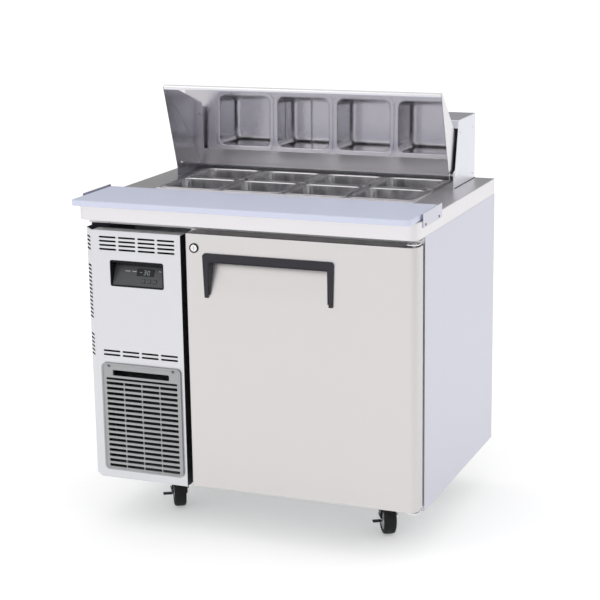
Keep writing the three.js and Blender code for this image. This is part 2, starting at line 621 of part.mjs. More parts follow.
// Hinge brackets: an angle screwed to the cabinet face, with a fixed pin into the door.
function hingeBracket(plateZ, pinFrom, pinTo) {
  const arm = roundedRect(412, 446, 16, FACE_Y - GAP, [12, 12, 0, 0]);
  const plate = extrude('z', arm, plateZ, plateZ + 3);
  const flange = box(412, 446, FACE_Y - 3.3, FACE_Y - GAP, plateZ - 2, plateZ + 10);
  return union([plate, flange, rod('z', DOOR_PIN.r, pinFrom, pinTo, DOOR_PIN.x, DOOR_PIN.y)]);
}
add('door_hinge_top', hingeBracket(DOOR.z1 + 3, DOOR.z1 - 20, DOOR.z1 + 5), GALVANISED);
add('door_hinge_bottom', hingeBracket(DOOR.z0 - 6, DOOR.z0 - 5, DOOR.z0 + 20), GALVANISED);

// ---------- casters ----------
// Each fork swivels under its plate and trails its wheel. The front pair has side brake levers.
const HUB_Z = CASTER.r - PLATE_Z;      // hub height, measured down from the caster plate
const WHEEL_HALF = CASTER.tread / 2;
const AXLE_R = 5;
function casterFork() {
  const top = rod('z', 26, -12, -GAP, 0, 0);
  const heel = [[-CASTER.trail + 10, HUB_Z - 11], [-CASTER.trail - 10, HUB_Z - 11]];
  const blade = outline([[-24, -8], [20, -8], [6, -40], ...heel, [-42, -40]]);
  const inner = WHEEL_HALF + 1.5;
  const blades = [[-inner - 3, -inner], [inner, inner + 3]].map(([a, b]) => extrude('x', blade, a, b));
  const bridge = box(-inner - 3, inner + 3, -24, 20, -15, -8);
  const hole = rod('x', AXLE_R + 0.1, -30, 30, -CASTER.trail, HUB_Z);
  return cut(union([top, bridge, ...blades]), [hole]);
}
function casterWheel() {
  const r = CASTER.r;
  const h = WHEEL_HALF;
  const side = [[0, 25], [AXLE_R, 25], [AXLE_R, h - 4], [30, h - 4], [32, h]];
  const tread = arc(r - 6, h - 6, 6, Math.PI / 2, 0, 2);
  const upper = [...side, ...tread];
  const profile = [...upper.map(([x, y]) => [x, -y]), ...upper.reverse()];
  const wheel = new THREE.LatheGeometry(profile.map(([x, y]) => new THREE.Vector2(x, y)), 20);
  wheel.rotateZ(Math.PI / 2);
  return solid(wheel);
}
function brakeLever() {
  const hub = rod('x', 11, -24.5, -21, 0, 0);
  const arm = box(-24.5, -21, -36, 0, -1, 6);
  const tab = box(-46, -21, -40, -28, 0, 5);
  return cut(union([hub, arm, tab]), [rod('x', AXLE_R + 0.2, -40, 10, 0, 0)]);
}
for (const [name, x, y] of CASTER_SPOTS) {
  const caster = new THREE.Group();
  caster.position.set(x, y, PLATE_Z);
  caster.rotation.z = THREE.MathUtils.degToRad(CASTER.turn);
  table.add(caster);
  add(`caster_fork_${name}`, casterFork(), BLACK_RUBBER, caster);
  add(`caster_wheel_${name}`, casterWheel(), BLACK_RUBBER, caster).position.set(0, -CASTER.trail, HUB_Z);
  if (name.startsWith('front')) {
    add(`brake_lever_${name}`, brakeLever(), GALVANISED, caster).position.set(0, -CASTER.trail, HUB_Z);
  }
}

// The part's origin is on the floor under the middle of its outer box.
table.position.y = -(BOARD_FRONT + DEPTH) / 2;

export default table;
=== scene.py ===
import json
import math

import bmesh
import bpy
from mathutils import Matrix, Vector


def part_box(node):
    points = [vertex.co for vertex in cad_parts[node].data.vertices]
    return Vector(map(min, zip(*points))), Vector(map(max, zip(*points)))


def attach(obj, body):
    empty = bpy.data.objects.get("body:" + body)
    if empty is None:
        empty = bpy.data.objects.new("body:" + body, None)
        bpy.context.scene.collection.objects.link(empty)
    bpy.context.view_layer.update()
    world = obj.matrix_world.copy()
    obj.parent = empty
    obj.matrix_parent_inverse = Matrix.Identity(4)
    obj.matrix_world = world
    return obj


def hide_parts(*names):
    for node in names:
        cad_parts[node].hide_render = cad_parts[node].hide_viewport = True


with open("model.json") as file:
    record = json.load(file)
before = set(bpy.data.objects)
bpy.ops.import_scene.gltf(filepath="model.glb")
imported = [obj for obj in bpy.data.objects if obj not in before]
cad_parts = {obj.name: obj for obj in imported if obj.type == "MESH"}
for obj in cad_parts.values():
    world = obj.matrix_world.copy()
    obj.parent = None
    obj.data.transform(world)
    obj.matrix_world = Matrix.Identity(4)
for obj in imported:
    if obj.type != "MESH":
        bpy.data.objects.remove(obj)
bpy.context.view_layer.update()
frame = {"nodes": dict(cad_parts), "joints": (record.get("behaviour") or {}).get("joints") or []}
scene = bpy.context.scene

# ---------------------------------------------------------------- studio
# A white product studio: a bright floor that runs out of view, a pale sky all round and two broad
# lamps. The camera stands to the right of the table's front, a little above the worktop.
CAMERA_PLACE = Vector((1.607, -3.8924, 1.5904))
CAMERA_TURN = math.radians(22.108)
CAMERA_DIP = math.radians(13.736)
CAMERA_ROLL = math.radians(-0.847)
CAMERA_LENS = 99.07

camera = bpy.data.objects.new("camera", bpy.data.cameras.new("camera"))
camera.data.lens = CAMERA_LENS
camera.matrix_world = (
    Matrix.Translation(CAMERA_PLACE)
    @ Matrix.Rotation(CAMERA_TURN, 4, "Z")
    @ Matrix.Rotation(math.pi / 2 - CAMERA_DIP, 4, "X")
    @ Matrix.Rotation(CAMERA_ROLL, 4, "Z")
)
scene.collection.objects.link(camera)
scene.camera = camera
scene.view_settings.view_transform = "Standard"

scene.world = bpy.data.worlds.new("sky")
scene.world.use_nodes = True
sky = scene.world.node_tree.nodes["Background"]
sky.inputs["Strength"].default_value = 1.0

# Three soft dark patches in the sky, to the right, to the left and low behind the table, give
# the steel something to reflect.
sky_nodes = scene.world.node_tree.nodes
sky_links = scene.world.node_tree.links
ray = sky_nodes.new("ShaderNodeTexCoord").outputs["Generated"]
brightness = None
for direction, darkest in (((0.94, -0.342, 0), 0.1), ((-0.36, 0.90, 0.24), 0.3), ((-0.927, 0.375, 0), 0.3)):
    facing = sky_nodes.new("ShaderNodeVectorMath")
    facing.operation = "DOT_PRODUCT"
    facing.inputs[1].default_value = direction
    sky_links.new(ray, facing.inputs[0])
    fade = sky_nodes.new("ShaderNodeMapRange")
    fade.inputs["From Min"].default_value = 0.72
    fade.inputs["From Max"].default_value = 0.97
    fade.inputs["To Min"].default_value = 1.0
    fade.inputs["To Max"].default_value = darkest
    sky_links.new(facing.outputs["Value"], fade.inputs["Value"])
    product = sky_nodes.new("ShaderNodeMath")
    product.operation = "MULTIPLY"
    sky_links.new(fade.outputs["Result"], product.inputs[0])
    product.inputs[1].default_value = 1.0
    if brightness:
        sky_links.new(brightness, product.inputs[1])
    brightness = product.outputs["Value"]
sky_links.new(brightness, sky.inputs["Color"])


def lamp(name, place, aim, size, watts, color):
    """A broad square lamp turned towards a point."""
    light = bpy.data.lights.new(name, "AREA")
    light.size = size
    light.energy = watts
    light.color = color
    holder = bpy.data.objects.new(name, light)
    turn = (Vector(aim) - Vector(place)).to_track_quat("-Z", "Y").to_matrix().to_4x4()
    holder.matrix_world = Matrix.Translation(place) @ turn
    scene.collection.objects.link(holder)


lamp("front_lamp", (-2.2, -3.2, 3.0), (0, 0, 0.5), 2.5, 14, (1.0, 0.985, 0.96))
lamp("side_lamp", (3.4, -0.4, 2.4), (0.3, 0, 0.5), 2.5, 8, (0.94, 0.96, 1.0))


# ---------------------------------------------------------------- sheet steel
# The visible casework is stainless sheet with a fine directional polish, which shows as faint
# streaks along the polishing direction. Each wall is polished along its own longer way.
class Signal:
    """One value inside a finish. Arithmetic on it adds Math nodes."""

    def __init__(self, finish, socket):
        self.finish = finish
        self.socket = socket

    def math(self, operation, *values):
        return self.finish.node("ShaderNodeMath", dict(enumerate(values)), operation=operation)

    def __add__(self, other):
        return self.math("ADD", self, other)

    def __sub__(self, other):
        return self.math("SUBTRACT", self, other)

    def __rsub__(self, other):
        return self.math("SUBTRACT", other, self)

    def __mul__(self, other):
        return self.math("MULTIPLY", self, other)

    __radd__ = __add__
    __rmul__ = __mul__


class Finish:
    """A material: a shader with constant sockets, and nodes that vary some of them."""

    def __init__(self, name, color, roughness, metallic=0.0, **constants):
        self.material = bpy.data.materials.new(name)
        self.material.use_nodes = True
        self.tree = self.material.node_tree
        self.shader = self.tree.nodes["Principled BSDF"]
        self.color = color
        self.roughness = roughness
        self.set("Base Color", (*color, 1))
        self.set("Roughness", roughness)
        self.set("Metallic", metallic)
        for socket, value in constants.items():
            self.set(socket.replace("_", " "), value)

    def node(self, kind, inputs=None, output=0, stops=None, **settings):
        made = self.tree.nodes.new(kind)
        for setting, value in settings.items():
            setattr(made, setting, value)
        if stops:
            ramp = made.color_ramp
            for element, (at, color) in zip((ramp.elements[0], ramp.elements[1]), stops):
                element.position = at
                element.color = color
        for key, value in (inputs or {}).items():
            self.join(made.inputs[key], value)
        return Signal(self, made.outputs[output])

    def join(self, socket, value):
        if isinstance(value, Signal):
            self.tree.links.new(value.socket, socket)
        else:
            socket.default_value = value

    def set(self, socket, value):
        self.join(self.shader.inputs[socket], value)

    def noise(self, stretch, detail=3.0):
        """Noise over the object's own coordinates, with its own fineness per metre on each axis."""
        place = self.node("ShaderNodeTexCoord", output="Object")
        scaled = self.node("ShaderNodeMapping", {"Vector": place, "Scale": stretch})
        return self.node("ShaderNodeTexNoise", {"Vector": scaled, "Scale": 1.0, "Detail": detail})

    def tint(self, amount, low, high):
        """Base colour moves between two shades as a value goes from 0 to 1."""
        mixed = self.node(
            "ShaderNodeMix",
            {"Factor": amount, 6: (*low, 1), 7: (*high, 1)},
            output=2,
            data_type="RGBA",
        )
        self.set("Base Color", mixed)

    def bump(self, height, strength, depth):
        raised = self.node("ShaderNodeBump", {"Height": height, "Strength": strength, "Distance": depth})
        self.set("Normal", raised)


def shade(color, factor):
    return tuple(min(1.0, c * factor) for c in color)


def polished(name, color, roughness, along, streak=0.03):
    """Stainless sheet polished along one axis: 0 for X, 1 for Y, 2 for Z."""
    finish = Finish(name, color, roughness, metallic=1.0)
    fine = finish.noise([7 if axis == along else 1100 for axis in range(3)])
    broad = finish.noise([1.2 if axis == along else 60 for axis in range(3)], detail=2.0)
    cloud = finish.noise((3, 3, 3), detail=1.0)
    streaks = fine * 0.5 + broad * 0.3 + cloud * 0.2
    finish.tint(streaks, shade(color, 1 - streak), shade(color, 1 + streak))
    finish.set("Roughness", fine * 0.10 + cloud * 0.06 + (roughness - 0.08))
    finish.bump(fine, 0.05, 0.0002)
    return finish


STEEL_COLOR = (0.74, 0.725, 0.74)
steel_x = polished("steel_polished_along_x", STEEL_COLOR, 0.34, 0)
steel_y = polished("steel_polished_along_y", (0.60, 0.60, 0.675), 0.36, 1)
steel_z = polished("steel_polished_upright", (0.60, 0.60, 0.675), 0.38, 2)


# ---------------------------------------------------------------- worktop
# The worktop is one folded sheet: a flat top with an opening for the pans, turned down all round
# as an apron with a hem, and welded at its rounded front corners.
APRON_CORNER = 0.030
BEND = 0.0025
SHEET = 0.0014


def block(bm, low, high):
    """A box between two corners."""
    made = bmesh.ops.create_cube(bm, size=1.0)["verts"]
    bmesh.ops.scale(bm, vec=[b - a for a, b in zip(low, high)], verts=made)
    bmesh.ops.translate(bm, vec=[(a + b) / 2 for a, b in zip(low, high)], verts=made)
    return made


def on(bm_item, tolerance=1e-5, **planes):
    """True if every vertex of an edge or face lies on the planes given, such as z=0.85."""
    return all(
        abs(vert.co["xyz".index(axis)] - at) < tolerance
        for vert in bm_item.verts
        for axis, at in planes.items()
    )


def bevel(bm, edges, radius, segments=4):
    bmesh.ops.bevel(
        bm,
        geom=edges,
        offset=radius,
        offset_type="OFFSET",
        segments=segments,
        profile=0.5,
        affect="EDGES",
        clamp_overlap=True,
        material=-1,
    )


def folds(bm, smallest=30):
    """The edges where two faces meet at more than an angle in degrees."""
    limit = math.radians(smallest)
    return [e for e in bm.edges if len(e.link_faces) == 2 and e.calc_face_angle(0) > limit]


def slice_at(bm, **planes):
    """Cuts every face along planes square to an axis, such as x=[-0.3, 0.3]."""
    for axis, places in planes.items():
        normal = Vector([1.0 if a == axis else 0.0 for a in "xyz"])
        for place in places:
            bmesh.ops.bisect_plane(
                bm,
                geom=[*bm.verts, *bm.edges, *bm.faces],
                plane_co=normal * place,
                plane_no=normal,
            )


def inside(face, low, high):
    """True if the middle of a face is inside a box."""
    middle = face.calc_center_median()
    return all(a <= m <= b for a, m, b in zip(low, middle, high))


def piece(name, bm, finish, body, slot, *nodes, wall=0.0, soften=0.0, crease=35):
    """Makes an object of a mesh. A wall gives an open skin its thickness on the inner side."""
    mesh = bpy.data.meshes.new(name)
    bmesh.ops.recalc_face_normals(bm, faces=bm.faces)
    bm.to_mesh(mesh)
    bm.free()
    mesh.materials.append(finish.material)
    mesh.shade_smooth()
    mesh.set_sharp_from_angle(angle=math.radians(crease))
    made = bpy.data.objects.new(name, mesh)
    scene.collection.objects.link(made)
    if wall:
        skin = made.modifiers.new("wall", "SOLIDIFY")
        skin.thickness = wall
        skin.offset = -1
        skin.use_even_offset = True
    if soften:
        rounding = made.modifiers.new("soften", "BEVEL")
        rounding.width = soften
        rounding.segments = 2
        rounding.limit_method = "ANGLE"
        rounding.angle_limit = math.radians(crease)
        rounding.use_clamp_overlap = True
    flat = made.modifiers.new("flat_faces", "WEIGHTED_NORMAL")
    flat.keep_sharp = True
    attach(made, body)
    if nodes:
        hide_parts(*nodes)
    return made


low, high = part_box("worktop")
well_low, well_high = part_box("pan_frame")
bm = bmesh.new()
block(bm, low, high)
corners = [e for e in bm.edges if on(e, y=low[1], x=low[0]) or on(e, y=low[1], x=high[0])]
bevel(bm, corners, APRON_CORNER, 12)
underside = [f for f in bm.faces if on(f, z=low[2])]
bmesh.ops.delete(bm, geom=underside, context="FACES")
slice_at(bm, x=[well_low[0], well_high[0]], y=[well_low[1], well_high[1]])
well = [f for f in bm.faces if on(f, z=high[2]) and inside(f, well_low, (*well_high[:2], high[2] + 1))]
bmesh.ops.delete(bm, geom=well, context="FACES")
well_rim = [e for e in bm.edges if e.is_boundary and on(e, z=high[2])]
turned = bmesh.ops.extrude_edge_only(bm, edges=well_rim)["geom"]
def verts_of(geometry):
    return [item for item in geometry if isinstance(item, bmesh.types.BMVert)]


bmesh.ops.translate(bm, vec=(0, 0, -0.012), verts=verts_of(turned))
bevel(bm, folds(bm), BEND, 3)
hem = [e for e in bm.edges if e.is_boundary and on(e, z=low[2])]
turned = verts_of(bmesh.ops.extrude_edge_only(bm, edges=hem)["geom"])
bmesh.ops.translate(bm, vec=(0, -(low[1] + high[1]) / 2, 0), verts=turned)
bmesh.ops.scale(bm, vec=(0.97, 0.96, 1), verts=turned)
bmesh.ops.translate(bm, vec=(0, (low[1] + high[1]) / 2, 0), verts=turned)
piece("worktop_skin", bm, steel_x, "cabinet", "steel", "worktop", wall=SHEET)


# ---------------------------------------------------------------- cutting board
# A full-width board of white polyethylene with eased edges. It lies on the front of the worktop,
# overhangs it, and carries fine knife marks.
board_white = Finish("board_polyethylene", (0.62, 0.65, 0.79), 0.42, IOR=1.5)
marks = board_white.noise((90, 900, 900), detail=4.0)
grain = board_white.noise((600, 600, 600), detail=2.0)
board_white.tint(marks * 0.6 + grain * 0.4, (0.585, 0.615, 0.765), (0.655, 0.68, 0.815))
board_white.set("Roughness", marks * 0.25 + 0.3)
board_white.bump(marks * 0.7 + grain * 0.3, 0.12, 0.0004)

low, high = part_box("cutting_board")
bm = bmesh.new()
block(bm, low, high)
bevel(bm, [e for e in bm.edges if on(e, y=low[1], x=low[0]) or on(e, y=low[1], x=high[0])], 0.014, 8)
bevel(bm, [e for e in bm.edges if on(e, y=high[1], x=low[0]) or on(e, y=high[1], x=high[0])], 0.003, 3)
bevel(bm, folds(bm), 0.0035, 4)
piece("cutting_board_slab", bm, board_white, "board", "board_plastic", "cutting_board", crease=50)


# ---------------------------------------------------------------- board brackets
# A thin steel plate stands at each end of the board. Two pan-head screws fix it to the apron.
BRACKET_SHEET = 0.0015
SCREW_PLACES = ((-0.257, 0.839), (-0.151, 0.839))
bright_plate = Finish("bright_plated_steel", (0.78, 0.78, 0.79), 0.16, metallic=1.0)
bright_plate.set("Roughness", bright_plate.noise((300, 300, 300)) * 0.12 + 0.10)
dark_screw = Finish("dark_screw_steel", (0.14, 0.14, 0.145), 0.3, metallic=1.0)
dark_screw.set("Roughness", dark_screw.noise((400, 400, 400)) * 0.2 + 0.2)


def disc(bm, place, axis, radius, depth, sides=20, tip=None):
    """A short cylinder or cone that starts at a place and runs along an axis."""
    axis = Vector(axis).normalized()
    turn = axis.to_track_quat("Z", "Y").to_matrix().to_4x4()
    made = bmesh.ops.create_cone(
        bm,
        cap_ends=True,
        segments=sides,
        radius1=radius,
        radius2=radius if tip is None else tip,
        depth=depth,
        matrix=Matrix.Translation(Vector(place) + axis * depth / 2) @ turn,
    )
    return made["verts"]


def screw(bm, place, axis, radius, proud):
    """A domed head with a cross recess, its underside at a place."""
    head = disc(bm, place, axis, radius, proud, tip=radius * 0.9)
    axis = Vector(axis).normalized()
    cap = max((f for v in head for f in v.link_faces), key=lambda f: f.calc_center_median().dot(axis))
    bmesh.ops.inset_region(bm, faces=[cap], thickness=radius * 0.35)
    bmesh.ops.translate(bm, vec=axis * proud * 0.25, verts=cap.verts[:])
    bmesh.ops.inset_region(bm, faces=[cap], thickness=radius * 0.25)
    bmesh.ops.translate(bm, vec=-axis * proud * 0.6, verts=cap.verts[:])


for side, sign in (("right", 1), ("left", -1)):
    low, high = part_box(f"board_bracket_{side}")
    inner = low[0] if sign > 0 else high[0]
    faces = sorted((inner, inner + sign * BRACKET_SHEET))
    bm = bmesh.new()
    block(bm, (faces[0], low[1], low[2]), (faces[1], high[1], high[2]))
    bevel(bm, [e for e in bm.edges if abs(e.verts[0].co.x - e.verts[1].co.x) > 1e-4], 0.003, 4)
    piece(f"board_bracket_{side}_plate", bm, steel_y, "cabinet", "steel", f"board_bracket_{side}")
    bm = bmesh.new()
    for y, z in SCREW_PLACES:
        screw(bm, (inner + sign * BRACKET_SHEET, y, z), (sign, 0, 0), 0.0036, 0.0009)
    piece(f"board_bracket_{side}_screws", bm, dark_screw, "cabinet", "steel")


# ---------------------------------------------------------------- cabinet walls
# Flat stainless sheets close the sides. The back is plain zinc-plated sheet, slotted behind the
# machine and held by screws, with a rubber grommet where the supply lead would enter.
SHEET_EDGE = 0.0004
zinc = Finish("zinc_plated_sheet", (0.50, 0.51, 0.52), 0.42, metallic=0.9)
zinc_place = zinc.node("ShaderNodeTexCoord", output="Object")
spangle = zinc.node("ShaderNodeTexVoronoi", {"Vector": zinc_place, "Scale": 90.0})
zinc.tint(spangle, (0.42, 0.43, 0.44), (0.58, 0.59, 0.60))
zinc.set("Roughness", zinc.noise((60, 60, 60)) * 0.2 + 0.32)


def slab(name, node, finish, body, slot, radius=SHEET_EDGE, segments=2):
    """A plain piece with eased edges in the place of a box-shaped node."""
    bm = bmesh.new()
    block(bm, *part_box(node))
    bevel(bm, bm.edges[:], radius, segments)
    return piece(name, bm, finish, body, slot, node)


slab("right_side_wall", "side_panel_right", steel_z, "cabinet", "steel")
slab("left_side_wall", "side_panel_left", steel_z, "cabinet", "steel")


def loop(bm, plane, at, low, high, radius, segments=3):
    """A closed outline with rounded corners in a plane square to an axis."""
    a, b = [axis for axis in range(3) if axis != plane]
    places = []
    for s, t in ((low[0], low[1]), (high[0], low[1]), (high[0], high[1]), (low[0], high[1])):
        place = [0.0, 0.0, 0.0]
        place[plane], place[a], place[b] = at, s, t
        places.append(bm.verts.new(place))
    face = bm.faces.new(places)
    if radius:
        rounded = bmesh.ops.bevel(
            bm, geom=places, offset=radius, offset_type="OFFSET", segments=segments,
            profile=0.5, affect="VERTICES", clamp_overlap=True, material=-1,
        )
        face = rounded["verts"][0].link_faces[0]
    edges = face.edges[:]
    bmesh.ops.delete(bm, geom=[face], context="FACES_ONLY")
    return edges


def ring(bm, place, axis, radius, sides=24):
    """A closed round outline."""
    turn = Vector(axis).normalized().to_track_quat("Z", "Y").to_matrix().to_4x4()
    made = bmesh.ops.create_circle(
        bm, cap_ends=False, segments=sides, radius=radius, matrix=Matrix.Translation(place) @ turn
    )
    return list({e for v in made["verts"] for e in v.link_edges})


def fill(bm, edges, depth=None):
    """Fills outlines, the inner ones staying open, and gives the sheet a depth if one is given."""
    made = bmesh.ops.triangle_fill(bm, use_beauty=True, use_dissolve=False, edges=edges)["geom"]
    faces = [g for g in made if isinstance(g, bmesh.types.BMFace)]
    if depth:
        raised = bmesh.ops.extrude_face_region(bm, geom=faces, use_keep_orig=True)["geom"]
        bmesh.ops.translate(bm, vec=depth, verts=verts_of(raised))
    return faces


BACK_SLOT = (0.090, 0.008)
BACK_SLOT_PLACES = [(x, 0.240 + row * 0.026) for x in (-0.400, -0.290) for row in range(8)]
GROMMET = (-0.200, 0.180)
low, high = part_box("back_panel")
bm = bmesh.new()
edges = loop(bm, 1, low[1], (low[0], low[2]), (high[0], high[2]), 0)
for x, z in BACK_SLOT_PLACES:
    edges += loop(bm, 1, low[1], (x, z), (x + BACK_SLOT[0], z + BACK_SLOT[1]), 0.0039, 4)
edges += ring(bm, (GROMMET[0], low[1], GROMMET[1]), (0, 1, 0), 0.011)
fill(bm, edges, (0, high[1] - low[1] - 0.0008, 0))
for x in (low[0] + 0.02, -0.15, 0.15, high[0] - 0.02):
    for z in (low[2] + 0.015, (low[2] + high[2]) / 2, high[2] - 0.015):
        screw(bm, (x, high[1] - 0.0008, z), (0, 1, 0), 0.0040, 0.0006)
piece("back_wall", bm, zinc, "cabinet", "galvanised", "back_panel")

soft_rubber = Finish("black_soft_rubber", (0.010, 0.010, 0.011), 0.62, IOR=1.5, Specular_IOR_Level=0.2)
soft_rubber.set("Roughness", soft_rubber.noise((150, 150, 150)) * 0.25 + 0.5)
soft_rubber.bump(soft_rubber.noise((900, 900, 900)), 0.15, 0.0003)
bm = bmesh.new()
outer = ring(bm, (GROMMET[0], low[1] - 0.002, GROMMET[1]), (0, 1, 0), 0.0108)
hole = ring(bm, (GROMMET[0], low[1] - 0.002, GROMMET[1]), (0, 1, 0), 0.0055)
fill(bm, outer + hole, (0, 0.0033, 0))
piece("supply_grommet", bm, soft_rubber, "cabinet", "galvanised", soften=0.0005)

# ---------------------------------------------------------------- base tray
# A shallow zinc-plated tray closes the underside. Four bolted plates under it take the casters.
CASTER_PLACES = {
    joint["name"].replace("swivel_", ""): Vector(joint["pos_m"])
    for joint in frame["joints"]
    if joint["name"].startswith("swivel_")
}
PLATE = Vector((0.042, 0.048, 0.004))
low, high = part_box("base_tray")
bm = bmesh.new()
block(bm, (low[0], low[1], low[2] + PLATE.z), high)
for place in CASTER_PLACES.values():
    block(
        bm, (place.x - PLATE.x, place.y - PLATE.y, low[2]),
        (place.x + PLATE.x, place.y + PLATE.y, low[2] + 0.0036)
    )
    for a in (-0.031, 0.031):
        for b in (-0.037, 0.037):
            disc(bm, (place.x + a, place.y + b, low[2]), (0, 0, -1), 0.0058, 0.004, 6)
piece("underside_tray", bm, zinc, "cabinet", "galvanised", "base_tray", soften=0.0006)

# ---------------------------------------------------------------- cold body
# The cupboard is a satin steel liner foamed into an outer shell, open at the front for the door
# and at the top for the pans. A shallow trough carries the pan well over the machine.
liner_steel = polished("steel_satin_liner", (0.72, 0.73, 0.74), 0.42, 0, 0.02)
CAVITY_LOW = Vector((-0.112, -0.255, 0.170))
CAVITY_HIGH = Vector((0.400, 0.304, 0.755))
TROUGH_WALL = -0.160
TROUGH_FLOOR = 0.735
TROUGH_FRONT = -0.101
low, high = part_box("cold_body")
opening = 0.002
well = ((well_low[0] - opening, well_low[1] - opening), (well_high[0] + opening, well_high[1] + opening))
bm = bmesh.new()
block(bm, (TROUGH_WALL, low[1], low[2]), high)
slice_at(bm, x=[CAVITY_LOW.x, CAVITY_HIGH.x], z=[CAVITY_LOW.z, CAVITY_HIGH.z])
mouth = [
    f for f in bm.faces
    if on(f, y=low[1]) and inside(f, (CAVITY_LOW.x, -1, CAVITY_LOW.z), (CAVITY_HIGH.x, 1, CAVITY_HIGH.z))
]
pushed = bmesh.ops.extrude_face_region(bm, geom=mouth)["geom"]
bmesh.ops.delete(bm, geom=[f for f in mouth if f.is_valid], context="FACES_ONLY")
bmesh.ops.translate(bm, vec=(0, CAVITY_HIGH.y - low[1], 0), verts=verts_of(pushed))
cavity = [
    e for e in folds(bm, 60)
    if all(
        CAVITY_LOW.x - 1e-4 < v.co.x < CAVITY_HIGH.x + 1e-4 and CAVITY_LOW.z - 1e-4 < v.co.z < CAVITY_HIGH.z + 1e-4
        for v in e.verts
    )
    and not on(e, y=low[1])
]
bevel(bm, cavity, 0.012, 5)
slice_at(bm, x=[well[0][0], well[1][0]], y=[well[0][1], well[1][1]])
for level in (CAVITY_HIGH.z, high[2]):
    lid_faces = [
        f for f in bm.faces
        if on(f, 1e-4, z=level) and inside(
            f, (well[0][0], well[0][1], level - 1e-3), (well[1][0], well[1][1], level + 1e-3)
        )
    ]
    bmesh.ops.delete(bm, geom=lid_faces, context="FACES")
piece("cupboard_liner", bm, liner_steel, "cabinet", "liner", "cold_body")
bm = bmesh.new()
block(bm, (low[0], TROUGH_FRONT, TROUGH_FLOOR), (TROUGH_WALL - 0.0005, high[1], high[2]))
bmesh.ops.delete(bm, geom=[f for f in bm.faces if on(f, z=high[2])], context="FACES")
piece("trough_liner", bm, liner_steel, "cabinet", "liner", wall=0.002)

# ---------------------------------------------------------------- front rail
# A folded rail closes the gap between the door and the apron. Two upright seams part its lengths.
low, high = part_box("front_rail")
SEAMS = (-0.385, -0.108)
# The rail's pale grey, non-metal finish is painted light: brighter than steel, so the strip in shade under the
# apron reads lit.
strip_light_paint = Finish("pale_grey_coated_steel", (0.80, 0.79, 0.80), 0.45, IOR=1.5)
strip_light_paint.set("Roughness", strip_light_paint.noise((200, 200, 200)) * 0.2 + 0.35)
ends = [low[0], *SEAMS, high[0]]
bm = bmesh.new()
for start, end in zip(ends, ends[1:]):
    block(bm, (start + 0.0007, low[1], low[2]), (end - 0.0007, high[1], high[2]))
piece("front_rail_lengths", bm, strip_light_paint, "cabinet", "steel", "front_rail", soften=0.0006)

# ---------------------------------------------------------------- shelf
# A plated wire shelf rests on two steel angles: three stout cross rods under many thin wires,
# all welded where they cross.
WIRE = 0.0021
ROD = 0.0030
WIRES = 27
low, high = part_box("wire_shelf")
bm = bmesh.new()
for y in (low[1] + ROD, (low[1] + high[1]) / 2, high[1] - ROD):
    disc(bm, (low[0], y, low[2] + ROD), (1, 0, 0), ROD, high[0] - low[0], 12)
for index in range(WIRES):
    x = low[0] + WIRE + (high[0] - low[0] - 2 * WIRE) * index / (WIRES - 1)
    disc(bm, (x, low[1], high[2] - WIRE * 0.6), (0, 1, 0), WIRE, high[1] - low[1], 8)
piece("shelf_wires", bm, bright_plate, "cabinet", "chrome", "wire_shelf")
for side in ("left", "right"):
    slab(f"shelf_angle_{side}", f"shelf_rail_{side}", steel_y, "cabinet", "steel", 0.0015)

# ---------------------------------------------------------------- louvred panel
# The machine's cover is one stainless sheet folded twice round a slanting left front corner. Rows
# of slots are punched in it flat, some of them in the slant, before it is folded.
PANEL_CORNER = 0.030
PANEL_BEND_R = 0.004
SLOT_PITCH = 0.0104
SLOT_TALL = 0.0050
SLOT_COLUMNS = [-0.3998 + 0.0545 * column for column in range(4)]
SLOT_LONG = 0.0483
FACE_SLOTS = ((0.7664, 4), (0.4693, 2))
CORNER_SLOTS = ((0.762, 4), (0.687, 14), (0.505, 6))
WINDOW = ((-0.371, 0.638), (-0.221, 0.706))
INTAKE = ((-0.398, 0.155), (-0.189, 0.427))
steel_panel = polished("steel_polished_panel", (0.66, 0.66, 0.69), 0.36, 2, 0.02)

low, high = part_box("louvred_front_panel")
face_y = low[1]
bend_long = PANEL_BEND_R * math.pi / 4
tangent = PANEL_BEND_R * math.tan(math.pi / 8)
slant = PANEL_CORNER * math.sqrt(2) - 2 * tangent
bend_start = low[0] + PANEL_CORNER + tangent
side_long = high[1] - face_y - PANEL_CORNER - tangent
return_long = 0.025
bm = bmesh.new()
start = bend_start - 2 * bend_long - slant - side_long
edges = loop(bm, 1, face_y, (start, low[2]), (high[0] + return_long, high[2]), 0)
for top, rows in FACE_SLOTS:
    for row in range(rows):
        for x in SLOT_COLUMNS:
            z = top - row * SLOT_PITCH
            edges += loop(bm, 1, face_y, (x, z - SLOT_TALL), (x + SLOT_LONG, z), SLOT_TALL * 0.45, 2)
slot_from = bend_start - 2 * bend_long - slant + tangent - 0.0006
slot_to = bend_start - bend_long + tangent - 0.009 * math.sqrt(2)
for top, rows in CORNER_SLOTS:
    for row in range(rows):
        z = top - row * SLOT_PITCH
        edges += loop(bm, 1, face_y, (slot_from, z - SLOT_TALL), (slot_to, z), SLOT_TALL * 0.45, 2)
edges += loop(bm, 1, face_y, *WINDOW, 0.005, 4)
edges += loop(bm, 1, face_y, *INTAKE, 0.006, 4)
fill(bm, edges)
for bend in (bend_start, bend_start - bend_long - slant):
    slice_at(bm, x=[bend - bend_long * step / 4 for step in range(-1, 6)])
slice_at(bm, x=[high[0]])


def folded(run):
    """The x and y of a point of the sheet that lay flat at a distance beyond the first bend."""
    x, y, turn = bend_start, face_y, 0.0
    for stretch, radius in ((bend_long, PANEL_BEND_R), (slant, 0), (bend_long, PANEL_BEND_R), (side_long, 0)):
        step = min(stretch, run)
        run -= step
        if radius:
            x -= radius * (math.sin(turn + step / radius) - math.sin(turn))
            y += radius * (math.cos(turn) - math.cos(turn + step / radius))
            turn += step / radius
        else:
            x -= step * math.cos(turn)
            y += step * math.sin(turn)
    return x, y


